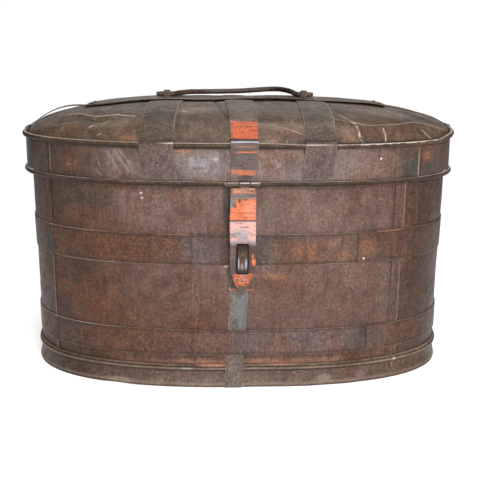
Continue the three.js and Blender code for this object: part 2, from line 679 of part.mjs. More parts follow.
function ridge() {
  const columns = outline.slice(0, outlineSides / 2 + 1).map(({ corner }) => corner.x / bodyHalfWidth);
  const from = acrossAt(ridgePlate.left);
  const to = acrossAt(ridgePlate.right);
  const near = 0.01;
  const inside = columns.filter((each) => each > from + near && each < to - near).toReversed();
  const along = ridgePlate.halfDepth / bodyHalfDepth;
  const section = (across, low, high, reach) => {
    const rows = [-reach, 0, reach];
    return [
      ...rows.map((row) => domePoint(across, row, high)),
      ...rows.toReversed().map((row) => domePoint(across, row, low)),
    ];
  };
  add("ridge_plate", loft([from, ...inside, to].map((each) => section(each, plateLift, plateTop, along))), oliveBrown);

  const endStrap = (name, side, plateEnd, bow) => {
    const start = acrossAt(Math.abs(plateEnd) - ridgeStrapLap);
    const clear = acrossAt(Math.abs(plateEnd));
    const share = [0, 0.15, 0.35, 0.55, 0.75, 0.9, 1];
    const last = 0.965;
    const stops = [start, ...share.map((each) => THREE.MathUtils.lerp(clear, last, each))];
    const half = ridgeStrapWidth / 2;
    const rows = stops.map((across) => {
      const raised = bow * Math.sin(Math.PI * THREE.MathUtils.clamp((across - clear) / (last - clear), 0, 1));
      const point = (y, lift) => {
        const place = domePoint(side * across, 0, lift + raised);
        const drop = domePoint(side * across, 0, lift).z - domePoint(side * across, y / bodyHalfDepth, lift).z;
        return new THREE.Vector3(place.x, y, place.z - drop);
      };
      return [
        point(-half, seat + strapSheet),
        point(half, seat + strapSheet),
        point(half, seat),
        point(-half, seat),
      ];
    });
    for (const degrees of [100, 60, 20, -15]) {
      const turn = THREE.MathUtils.degToRad(degrees);
      const radii = [overRoll + strapSheet, overRoll];
      const point = (radius, y) => {
        const x = side * (bodyHalfWidth + rimStandoff + radius * Math.cos(turn));
        return new THREE.Vector3(x, y, rimHeight + radius * Math.sin(turn));
      };
      rows.push([point(radii[0], -half), point(radii[0], half), point(radii[1], half), point(radii[1], -half)]);
    }
    add(name, loft(rows), strapBrown);
  };
  endStrap("ridge_strap_left", -1, ridgePlate.left, ridgeStrapBow);
  endStrap("ridge_strap_right", 1, ridgePlate.right, 0);

  const ends = { left: ridgePlate.left + ridgeRivetInset, right: ridgePlate.right - ridgeRivetInset };
  for (const [name, x] of Object.entries(ends)) {
    for (const [row, side] of Object.entries({ front: -1, back: 1 })) {
      const reach = (side * (ridgePlate.halfDepth - ridgeRivetInset)) / bodyHalfDepth;
      const spot = domePoint(acrossAt(x), reach, plateTop + seat);
      rivet(`ridge_rivet_${name}_${row}`, spot, new THREE.Vector3(0, 0, 1));
    }
  }
}

const pivotZ = domePoint(acrossAt(eyeRight), 0, plateTop).z + handleRadius + handleClearance;

function handle() {
  const eye = (name, middle) => {
    const foot = domePoint(acrossAt(middle), 0, plateTop).z + seat;
    const bore = handleRadius + handleClearance + eyeSlack;
    const rise = pivotZ - foot;
    const arch = (radius, level) => [
      [-eyeFoot, level],
      [-radius, level],
      ...[180, 130, 90, 50, 0].map((degrees) => {
        const turn = THREE.MathUtils.degToRad(degrees);
        return [radius * Math.cos(turn), rise + radius * Math.sin(turn)];
      }),
      [radius, level],
      [eyeFoot, level],
    ];
    const contour = [...arch(bore + strapSheet, strapSheet), ...arch(bore, 0).toReversed()];
    const side = (x) => contour.map(([y, z]) => new THREE.Vector3(x, y, foot + z));
    add(name, loft([side(middle - eyeWidth / 2), side(middle + eyeWidth / 2)]), darkSteel);
  };
  eye("handle_eye_left", eyeLeft);
  eye("handle_eye_right", eyeRight);

  // The bail's middle line from its left stub to its right one, from the pivot: along, back and up.
  const line = [
    [-109, 0, 0],
    [-100, 0, 0],
    [-90.4, 0, 0],
    [-88.4, 0, 0],
    [-85, 4, 0],
    [-82, 12, 0.2],
    [-68, 28, 1],
    [-50, 38, 1.5],
    [0, 41, 4],
    [44, 41.5, 7],
    [55, 36.5, 7],
    [65, 22, 5],
    [70.5, 12, 2.6],
    [74.5, 4, 0.5],
    [78, 0, 0],
    [80, 0, 0],
    [83, 0, 0],
    [97, 0, 0],
  ].map(([x, y, z]) => new THREE.Vector3(x, y, pivotZ + z));
  const path = new THREE.CatmullRomCurve3(line, false, "centripetal");
  const section = new THREE.Shape();
  const rodSides = 8;
  for (let i = 0; i < rodSides; i++) {
    const turn = (2 * Math.PI * i) / rodSides;
    const spot = [handleRadius * Math.cos(turn), handleRadius * Math.sin(turn)];
    if (i === 0) section.moveTo(...spot);
    else section.lineTo(...spot);
  }
  const rod = new THREE.ExtrudeGeometry(section, { steps: 36, extrudePath: path });
  add("handle", fromSolid(toSolid(rod)), darkSteel);
}

walls();
bands();
base();
bodyStrap();
stapleParts();
hinges();
dome();
lidEdges();
lidStraps();
haspPlate();
ridge();
handle();

export default model;
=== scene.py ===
# Oval sheet-metal case with a domed lid: its looks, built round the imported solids.
# Sizes in the dictionaries are in millimetres.
import math
from contextlib import contextmanager

import bpy
import numpy as np
from mathutils import Matrix, Vector, noise


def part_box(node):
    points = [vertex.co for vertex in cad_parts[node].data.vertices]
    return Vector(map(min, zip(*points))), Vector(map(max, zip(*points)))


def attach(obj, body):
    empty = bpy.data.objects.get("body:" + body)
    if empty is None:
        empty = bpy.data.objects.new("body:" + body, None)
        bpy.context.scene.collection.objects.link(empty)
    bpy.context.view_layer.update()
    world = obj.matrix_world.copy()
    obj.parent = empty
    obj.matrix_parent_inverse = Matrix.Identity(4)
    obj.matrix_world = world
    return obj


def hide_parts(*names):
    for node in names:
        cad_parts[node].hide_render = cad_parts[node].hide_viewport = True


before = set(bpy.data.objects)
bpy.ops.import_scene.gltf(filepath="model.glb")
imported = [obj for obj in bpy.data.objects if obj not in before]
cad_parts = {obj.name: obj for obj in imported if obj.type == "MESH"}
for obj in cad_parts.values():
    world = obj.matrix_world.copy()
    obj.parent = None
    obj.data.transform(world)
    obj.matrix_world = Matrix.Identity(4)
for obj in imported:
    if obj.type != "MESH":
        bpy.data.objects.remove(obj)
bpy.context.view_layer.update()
bpy.ops.object.select_all(action="DESELECT")
scene = bpy.context.scene
mm = 0.001
print("frame loaded:", len(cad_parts), "nodes")


# Shader nodes

def addNode(tree, kind, inputs=None, **settings):
    made = tree.nodes.new("ShaderNode" + kind)
    for key, value in settings.items():
        setattr(made, key, value)
    for key, value in (inputs or {}).items():
        socket = made.inputs[key]
        if isinstance(value, bpy.types.NodeSocket):
            tree.links.new(value, socket)
        elif socket.type == "RGBA":
            socket.default_value = (*value, 1)
        else:
            socket.default_value = value
    return made


def calc(tree, operation, first, second=0.0, third=0.0, clamp=False):
    inputs = {0: first, 1: second, 2: third}
    return addNode(tree, "Math", inputs, operation=operation, use_clamp=clamp).outputs[0]


def vectorCalc(tree, operation, first, second=(0, 0, 0)):
    made = addNode(tree, "VectorMath", {0: first, 1: second}, operation=operation)
    return made.outputs["Value"] if operation in ("LENGTH", "DOT_PRODUCT", "DISTANCE") else made.outputs[0]


def blendColours(tree, amount, under, over, kind="MIX"):
    inputs = {"Factor": amount, 6: under, 7: over}
    return addNode(tree, "Mix", inputs, data_type="RGBA", blend_type=kind).outputs[2]


def ramp(tree, value, low, high, toLow=0.0, toHigh=1.0):
    inputs = {"Value": value, "From Min": low, "From Max": high, "To Min": toLow, "To Max": toHigh}
    return addNode(tree, "MapRange", inputs, interpolation_type="SMOOTHSTEP").outputs[0]


def shadeBy(tree, colour, value, limits, depth, level=1.0):
    # lighter and darker by depth, as the value runs between its limits
    shade = ramp(tree, value, *limits, level * (1 - depth), level * (1 + depth))
    return blendColours(tree, 1.0, colour, shade, "MULTIPLY")


def cloud(tree, where, scale, detail=4.0, rough=0.6, shift=(0, 0, 0), stretch=None):
    # noise with this many cells a metre
    if stretch or any(shift):
        inputs = {"Vector": where, "Scale": stretch or (1, 1, 1), "Location": shift}
        where = addNode(tree, "Mapping", inputs).outputs[0]
    inputs = {"Vector": where, "Scale": scale, "Detail": detail, "Roughness": rough}
    return addNode(tree, "TexNoise", inputs).outputs["Fac"]


# Camera, floor and light

cameraView = {
    "turn": -2.20,
    "side": 2.32,
    "back": 1171.1,
    "height": 427.5,
    "pitch": 13.48,
    "roll": 0.5,
    "lens": 66.0,
    "sensor": 36,
}
studio = {
    "floorSize": (3.6, 3.0),
    "floorBack": 0.75,
    "floorColour": (0.92, 0.92, 0.92, 1),
    "floorRoughness": 0.9,
    "floorGlow": 0.6,
    "around": 0.07,
    "behind": 1.02,
    "behindFrom": (0.8, 0.91),
    "above": 0.25,
    "aboveFrom": (0.3, 0.9),
    "lightAim": (0, 0, 0.18),
    "lights": {
        "keyLight": {"at": (0.62, -2.0, 1.45), "size": (0.9, 0.6), "power": 40},
        "sheenLight": {"at": (0.3, -2.4, 0.55), "size": (0.7, 0.4), "power": 17},
        "topLight": {"at": (0.0, 0.1, 2.1), "size": (1.8, 1.0), "power": 17},
    },
}


def addCamera():
    bpy.ops.object.camera_add()
    camera = bpy.context.object
    camera.name = "camera"
    turn = Matrix.Rotation(math.radians(cameraView["turn"]), 4, "Z")
    tilt = Matrix.Rotation(math.radians(90 - cameraView["pitch"]), 4, "X")
    roll = Matrix.Rotation(math.radians(cameraView["roll"]), 4, "Z")
    place = turn @ Vector((cameraView["side"], -cameraView["back"], cameraView["height"])) * mm
    camera.matrix_world = Matrix.Translation(place) @ turn @ tilt @ roll
    camera.data.lens = cameraView["lens"]
    camera.data.sensor_width = cameraView["sensor"]
    scene.camera = camera


def addSoftLight(name, light):
    bpy.ops.object.light_add(type="AREA", location=light["at"])
    lamp = bpy.context.object
    lamp.name = name
    lamp.data.shape = "RECTANGLE"
    lamp.data.size, lamp.data.size_y = light["size"]
    lamp.data.energy = light["power"]
    aim = Vector(studio["lightAim"]) - lamp.location
    lamp.rotation_euler = aim.to_track_quat("-Z", "Y").to_euler()


def addFloor():
    width, depth = studio["floorSize"]
    bpy.ops.mesh.primitive_plane_add(size=1, location=(0, studio["floorBack"] - depth / 2, 0))
    floor = bpy.context.object
    floor.scale = (width, depth, 1)
    floor.name = "floor"
    paper = bpy.data.materials.new("floorPaper")
    paper.use_nodes = True
    inputs = paper.node_tree.nodes["Principled BSDF"].inputs
    inputs["Base Color"].default_value = studio["floorColour"]
    inputs["Roughness"].default_value = studio["floorRoughness"]
    inputs["Emission Color"].default_value = studio["floorColour"]
    inputs["Emission Strength"].default_value = studio["floorGlow"]
    floor.data.materials.append(paper)


def addSurround():
    # light from behind and above, and very little from elsewhere
    world = bpy.data.worlds.new("studio")
    world.use_nodes = True
    scene.world = world
    tree = world.node_tree
    background = tree.nodes["Background"]
    background.inputs["Color"].default_value = (1, 1, 1, 1)
    generated = addNode(tree, "TexCoord").outputs["Generated"]
    direction = addNode(tree, "SeparateXYZ", {0: generated}).outputs
    behind = ramp(tree, direction["Y"], *studio["behindFrom"], studio["around"], studio["behind"])
    above = ramp(tree, direction["Z"], *studio["aboveFrom"], 0, studio["above"])
    tree.links.new(calc(tree, "MAXIMUM", behind, above), background.inputs["Strength"])


scene.view_settings.view_transform = "Standard"
addCamera()
addFloor()
addSurround()
for name, light in studio["lights"].items():
    addSoftLight(name, light)
print("camera and studio set")


# The oval outline, measured along its length

oval = {
    "halfWidth": 269.5,
    "halfDepth": 163.5,
    "power": 2.56,
    "taper": 4.2,
    "wallTop": 289.6,
    "samples": 5760,
}


def wayAlong(points):
    # how far along the line each of its points is
    return np.concatenate([[0], np.cumsum(np.hypot.reduce(np.diff(points, axis=0), axis=1))])


def measureOutline():
    turn = np.linspace(0, 2 * math.pi, oval["samples"] + 1)
    bend = 2 / oval["power"]
    x = oval["halfWidth"] * np.sign(np.cos(turn)) * np.abs(np.cos(turn)) ** bend
    y = oval["halfDepth"] * np.sign(np.sin(turn)) * np.abs(np.sin(turn)) ** bend
    steep = oval["power"] - 1
    nx = np.sign(x) * (np.abs(x) / oval["halfWidth"]) ** steep / oval["halfWidth"]
    ny = np.sign(y) * (np.abs(y) / oval["halfDepth"]) ** steep / oval["halfDepth"]
    size = np.hypot(nx, ny)
    return wayAlong(np.stack([x, y], 1)), x, y, nx / size, ny / size


outlineLength, outlineX, outlineY, outlineNx, outlineNy = measureOutline()
perimeter = outlineLength[-1]


def outlineAt(place, offset):
    # place is the way round in mm, from the right end by the back; offset grows the outline
    around = np.mod(place, perimeter)
    lines = (outlineX, outlineY, outlineNx, outlineNy)
    x, y, nx, ny = (np.interp(around, outlineLength, line) for line in lines)
    return x + nx * offset, y + ny * offset


def placeAt(x, side, offset=0.0):
    # the way round to where X is x, at the back (side 1) or the front (side -1)
    half = oval["samples"] // 2
    part = slice(0, half + 1) if side > 0 else slice(half, None)
    edge = outlineX[part] + outlineNx[part] * offset
    order = -1 if side > 0 else 1
    return np.interp(x, edge[::order], outlineLength[part][::order])


def frontPlace(x):
    return float(placeAt(x, -1))


def facePoint(x, side, offset):
    return outlineAt(placeAt(x, side, offset), offset)


def wallFace(z):
    return -oval["taper"] * (1 - np.asarray(z, float) / oval["wallTop"])


# Dents: an uneven skin that all the pieces of one body share, so that what lies on a sheet follows it

# each wave has a height, its lengths along X, Y and Z, and a shift
bodyWaves = [
    (0.75, (95, 95, 80), (0, 0, 0)),
    (0.35, (37, 37, 34), (9, 0, 0)),
    (0.12, (13, 13, 12), (0, 4, 0)),
]
# each dent has a centre, a radius and a depth
bodyDents = [
    ((-155, -141, 5), 15, -2.2),
    ((105, -154, 9), 15, -1.3),
    ((150, -146, 10), 13, -1.0),
    ((20, -161, 10), 22, -0.8),
    ((262, -20, 58), 34, 1.9),
    ((258, 20, 24), 24, 1.5),
    ((-262, -20, 94), 13, 1.6),
    ((-262, -15, 55), 22, 1.5),
    ((-264, 0, 190), 26, 1.0),
    ((266, 0, 176), 30, 1.1),
    ((-120, -155, 112), 60, -1.6),
    ((80, -160, 222), 48, -1.2),
    ((-150, -148, 222), 40, -1.0),
    ((120, -152, 110), 42, -1.1),
]
lidDents = [
    ((-190, -138, 272), 26, -1.2),
    ((50, -167, 274), 32, -1.0),
    ((150, -153, 276), 30, 0.8),
    ((-270, -30, 275), 26, 1.0),
    ((268, -25, 272), 24, -1.0),
]


def addWaves(points, waves):
    out = np.zeros(len(points))
    for height, lengths, shift in waves:
        places = points / lengths + shift
        out += height * np.array([noise.noise(Vector(place)) for place in places])
    return out


def uneven(x, y, z, dents):
    points = np.stack(np.broadcast_arrays(x, y, z), 1)
    out = addWaves(points, bodyWaves)
    for centre, radius, depth in dents:
        away = ((points - centre) ** 2).sum(1) / radius**2
        out += depth * np.exp(-away)
    return out


# Modelling helpers

def activate(piece):
    bpy.ops.object.select_all(action="DESELECT")
    piece.select_set(True)
    bpy.context.view_layer.objects.active = piece


@contextmanager
def editing(piece, action="SELECT"):
    # edit mode, with all of the mesh selected or none of it
    activate(piece)
    bpy.ops.object.mode_set(mode="EDIT")
    bpy.ops.mesh.select_all(action=action)
    yield
    bpy.ops.object.mode_set(mode="OBJECT")


def getPoints(piece):
    flat = np.empty(len(piece.data.vertices) * 3)
    piece.data.vertices.foreach_get("co", flat)
    return flat.reshape(-1, 3)


def gridPiece(name, acrossStops, alongStops):
    # a flat grid with a line at each stop; also gives the two stops of each of its vertices
    columns, rows = len(acrossStops) - 1, len(alongStops) - 1
    bpy.ops.mesh.primitive_grid_add(x_subdivisions=columns, y_subdivisions=rows, size=1)
    piece = bpy.context.object
    piece.name = piece.data.name = name
    flat = getPoints(piece)
    i = np.rint((flat[:, 0] + 0.5) * columns).astype(int)
    j = np.rint((flat[:, 1] + 0.5) * rows).astype(int)
    return piece, np.asarray(acrossStops, float)[i], np.asarray(alongStops, float)[j]


def setPoints(piece, x, y, z):
    points = np.stack(np.broadcast_arrays(x, y, z), 1) * mm
    piece.data.vertices.foreach_set("co", points.ravel())
    piece.data.update()


def setUv(piece, u, v):
    # the piece's own UV map, in metres along the flat sheet
    corners = np.empty(len(piece.data.loops), int)
    piece.data.loops.foreach_get("vertex_index", corners)
    both = np.stack([u, v], 1)[corners] * mm
    piece.data.uv_layers.active.data.foreach_set("uv", both.ravel())


edgeReach = 6.0


def markEdges(piece, distance=edgeReach):
    # how near each point is to the sheet's edge, for the wear there, and on a roll to its crest, for a
    # painted highlight there: edgeReach at the edge, 0 further in
    near = np.zeros(len(piece.data.vertices))
    near += np.clip(edgeReach - distance, 0, edgeReach)
    piece.data.attributes.new("nearEdge", "FLOAT", "POINT").data.foreach_set("value", near)


# the painted highlight and painted shade of each point: lines along the dome's creases, and shade under the
# rolls
def markLightAndShade(piece, amount):
    piece.data.attributes.new("crease", "FLOAT", "POINT").data.foreach_set("value", amount)


def applyModifier(piece, kind, **settings):
    activate(piece)
    modifier = piece.modifiers.new(kind.lower(), kind)
    for key, value in settings.items():
        setattr(modifier, key, value)
    bpy.ops.object.modifier_apply(modifier=modifier.name)


mergeDistance = 0.02
bevelFrom = math.radians(50)


def mergePoints(piece):
    with editing(piece):
        bpy.ops.mesh.remove_doubles(threshold=mergeDistance * mm)


def capEnds(piece):
    # closes the open rings of a rod
    with editing(piece, "DESELECT"):
        bpy.ops.mesh.select_mode(type="EDGE")
        bpy.ops.mesh.select_non_manifold(
            extend=False, use_wire=False, use_multi_face=False, use_non_contiguous=False, use_verts=False
        )
        bpy.ops.mesh.edge_face_add()
        bpy.ops.mesh.select_all(action="SELECT")
        bpy.ops.mesh.normals_make_consistent(inside=False)


def deleteFaces(piece, test):
    with editing(piece, "DESELECT"):
        bpy.ops.mesh.select_mode(type="FACE")
        bpy.ops.object.mode_set(mode="OBJECT")
        for face in piece.data.polygons:
            face.select = test(face.center / mm)
        bpy.ops.object.mode_set(mode="EDIT")
        bpy.ops.mesh.delete(type="FACE")


def giveThickness(piece, thickness, bevel=0.0, segments=2):
    applyModifier(piece, "SOLIDIFY", thickness=thickness * mm, offset=-1, use_even_offset=True)
    if bevel:
        size = {"width": bevel * mm, "segments": segments}
        applyModifier(piece, "BEVEL", **size, limit_method="ANGLE", angle_limit=bevelFrom)


def joinPieces(pieces, name):
    bpy.ops.object.select_all(action="DESELECT")
    for piece in pieces:
        piece.select_set(True)
    bpy.context.view_layer.objects.active = pieces[0]
    bpy.ops.object.join()
    joined = bpy.context.object
    joined.name = joined.data.name = name
    return joined


curl = {"from": 236, "length": 42, "low": 284, "height": 9, "rise": 4.6}


def raiseEnd(piece):
    # the real lid curls up at its right end
    points = getPoints(piece)
    along = np.clip((points[:, 0] / mm - curl["from"]) / curl["length"], 0, 1) ** 1.5
    share = along * np.clip((points[:, 2] / mm - curl["low"]) / curl["height"], 0, 1)
    points[:, 2] += curl["rise"] * mm * share
    piece.data.vertices.foreach_set("co", points.ravel())
    piece.data.update()


def handIn(piece, body, slot, material, *nodes):
    if body == "lid":
        raiseEnd(piece)
    piece.data.materials.clear()
    piece.data.materials.append(material)
    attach(piece, body)
    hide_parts(*nodes)


def finishPiece(piece, node, body, slot, material, thickness=0.0, bevel=0.0, segments=2, angle=40):
    # thickness and smooth shading, before the piece is handed in for its node
    if thickness:
        giveThickness(piece, thickness, bevel, segments)
    activate(piece)
    bpy.ops.object.shade_smooth_by_angle(angle=math.radians(angle))
    handIn(piece, body, slot, material, node)


def spread(start, end, step, extra=()):
    # stops about step apart, with the extra ones that lie between
    count = max(1, round(abs(end - start) / step))
    inside = [each for each in extra if start < each < end]
    stops = np.linspace(start, end, count + 1)
    kept = [each for each in stops if all(abs(each - other) > 0.3 * step for other in inside)]
    return sorted({start, end, *kept, *inside})


def spreadAll(corners, step):
    # stops about step apart, with one at each corner
    stops = [corners[0]]
    for start, end in zip(corners[:-1], corners[1:]):
        stops += spread(start, end, step)[1:]
    return stops


def roundProfile(out, height, radius, first=0.0, last=360.0, sides=16):
    turns = np.radians(np.linspace(first, last, sides + 1))
    return [(out + radius * math.cos(turn), height + radius * math.sin(turn)) for turn in turns]


def aroundOval(
    name,
    profile,
    start,
    end,
    profileStep,
    dents,
    step,
    extra=(),
    rise=None,
    leans=False,
    level=None,
    crest=None,
    shade=None,
):
    # a sheet carried round the oval; the profile's (out, height) corners run upwards, so that it faces out
    corners = np.array(profile, float)
    length = wayAlong(corners)
    piece, place, along = gridPiece(name, spread(start, end, step, extra), spreadAll(length, profileStep))
    out, z = (np.interp(along, length, corners[:, k]) for k in (0, 1))
    out = out + uneven(*outlineAt(place, 0), z if level is None else level, dents)
    if leans:
        out = out + wallFace(z)
    if rise is not None:
        out = out + rise(place)
    setPoints(piece, *outlineAt(place, out), z)
    setUv(piece, place, along)
    closed = end - start >= perimeter - 1
    ends = edgeReach if closed else np.minimum(place - start, end - place)
    # the wear lies along the edges; on a roll it lies along the crest, as a painted highlight that is
    # partly wear
    if crest is None:
        inside = np.minimum(along, length[-1] - along)
    else:
        inside = np.abs(along - (crest(place) if callable(crest) else crest) * length[-1])
    markEdges(piece, np.minimum(inside, ends))
    if shade is not None:
        markLightAndShade(piece, shade(place, z))
    return piece


# a roll's line of painted highlight, partly wear, lies this far round its profile, and its profile has no
# stops but its corners
rollCrest = 3 / 14
cornersOnly = 50
rollShade = {"depth": 1.2, "from": 0.2, "fade": 0.45}


def underRoll(level, radius):
    # painted shade on the lower half of a roll
    def shade(place, z):
        height = (z - level) / radius
        return -rollShade["depth"] * np.clip((rollShade["from"] - height) / rollShade["fade"], 0, 1)

    return shade


def makeRoll(name, profile, start, end, dents, step, crest=rollCrest, **options):
    # the profile closes on itself
    piece = aroundOval(name, profile, start, end, cornersOnly, dents, step, crest=crest, **options)
    mergePoints(piece)
    return piece


def layStrip(name, columns, stations, rowAt):
    # a strip with a row at each station; rowAt gives the row's x, y and z, and what else it measures
    piece, share, step = gridPiece(name, columns, np.arange(len(stations)))
    step = step.astype(int)
    table = None
    for k, (kind, value) in enumerate(stations):
        row = np.column_stack(np.broadcast_arrays(*rowAt(kind, value, share[step == k])))
        if table is None:
            table = np.zeros((len(share), row.shape[1]))
        table[step == k] = row
    setPoints(piece, *table[:, :3].T)
    return piece, share, step, np.ascontiguousarray(table.T)


# Finishes. Colours are linear.

rustOrange = (0.36, 0.115, 0.035)
paleRust = (0.44, 0.19, 0.095)
# worn metal, also the colour of painted highlights along band and strap edges
wornMetalAndHighlight = (0.42, 0.34, 0.26)
# dark colour for grime, and for painted shade and shadow lines
darkGrimeAndShade = (0.018, 0.014, 0.011)
greenDark = (0.032, 0.042, 0.034)
scuffDark = (0.06, 0.045, 0.035)

# the clouds of noise in a finish: cells a metre, detail, roughness and shift
clouds = {
    "broad": (13, 5, 0.62),
    "soft": (38, 5, 0.65, (0.2, 0.4, 0)),
    "bloom": (26, 6, 0.68, (0, 0.7, 0)),
    "mottle": (190, 6, 0.75, (0.3, 0, 0.1)),
    "ragged": (170, 6, 0.75),
    "rust": (24, 6, 0.72, (0.11, 0.05, 0.4)),
    "rustGrain": (390, 6, 0.8, (0.7, 0, 0)),
    "patchy": (62, 5, 0.7, (0.1, 0.8, 0.3)),
    "fine": (320, 7, 0.82, (0.6, 0.3, 0)),
    "flecks": (380, 3, 0.6, (0, 0, 0.9)),
    "gloss": (110, 5, 0.65, (0.5, 0, 0)),
    "grain": (480, 5, 0.82),
    "scuff": (420, 4, 0.65, (0, 0.4, 0.2)),
    "edge": (70, 7, 0.8, (0, 0.2, 0)),
    "edgePatches": (14, 3, 0.5, (0.9, 0.2, 0)),
}
# the values between which they change
narrow = (0.36, 0.64)
wide = (0.3, 0.7)
limits = {
    "bloom": (0.42, 0.7),
    "mottle": (0.46, 0.66),
    "rustGrain": (0.47, 0.58),
    "breaks": (0.4, 0.56),
    "darkFlecks": (0.6, 0.68),
    "paleFlecks": (0.39, 0.31),
    "scuff": (0.55, 0.62),
    "edgePatches": (0.38, 0.62),
}


def patchMask(tree, where, ragged, patch, soft=0.35, edge=0.8):
    # 1 inside a patch, fading over its ragged edge; its place and half size are in mm
    centre = tuple(c * mm for c in patch["at"])
    half = tuple(h * mm for h in patch["half"])
    away = vectorCalc(tree, "DIVIDE", vectorCalc(tree, "SUBTRACT", where, centre), half)
    if patch.get("square"):
        parts = addNode(tree, "SeparateXYZ", {0: vectorCalc(tree, "ABSOLUTE", away)}).outputs
        distance = calc(tree, "MAXIMUM", calc(tree, "MAXIMUM", parts[0], parts[1]), parts[2])
    else:
        distance = vectorCalc(tree, "LENGTH", away)
    distance = calc(tree, "ADD", distance, calc(tree, "MULTIPLY", ragged, patch.get("ragged", edge)))
    soft = patch.get("soft", soft)
    return ramp(tree, distance, 1 + soft, 1 - soft, 0, patch["amount"])


def scratchMask(tree, where, ragged, scratch):
    points = [Vector(point) * mm for point in scratch["line"]]
    away = None
    for start, end in zip(points[:-1], points[1:]):
        along = end - start
        offset = vectorCalc(tree, "SUBTRACT", where, tuple(start))
        share = vectorCalc(tree, "DOT_PRODUCT", offset, tuple(along))
        share = calc(tree, "DIVIDE", share, along.length_squared, clamp=True)
        foot = addNode(tree, "VectorMath", {0: tuple(along), "Scale": share}, operation="SCALE").outputs[0]
        distance = vectorCalc(tree, "DISTANCE", offset, foot)
        away = distance if away is None else calc(tree, "MINIMUM", away, distance)
    width = scratch["width"] * mm
    away = calc(tree, "ADD", away, calc(tree, "MULTIPLY", ragged, width * 1.2))
    return ramp(tree, away, width * 1.3, width * 0.4, 0, scratch["amount"])


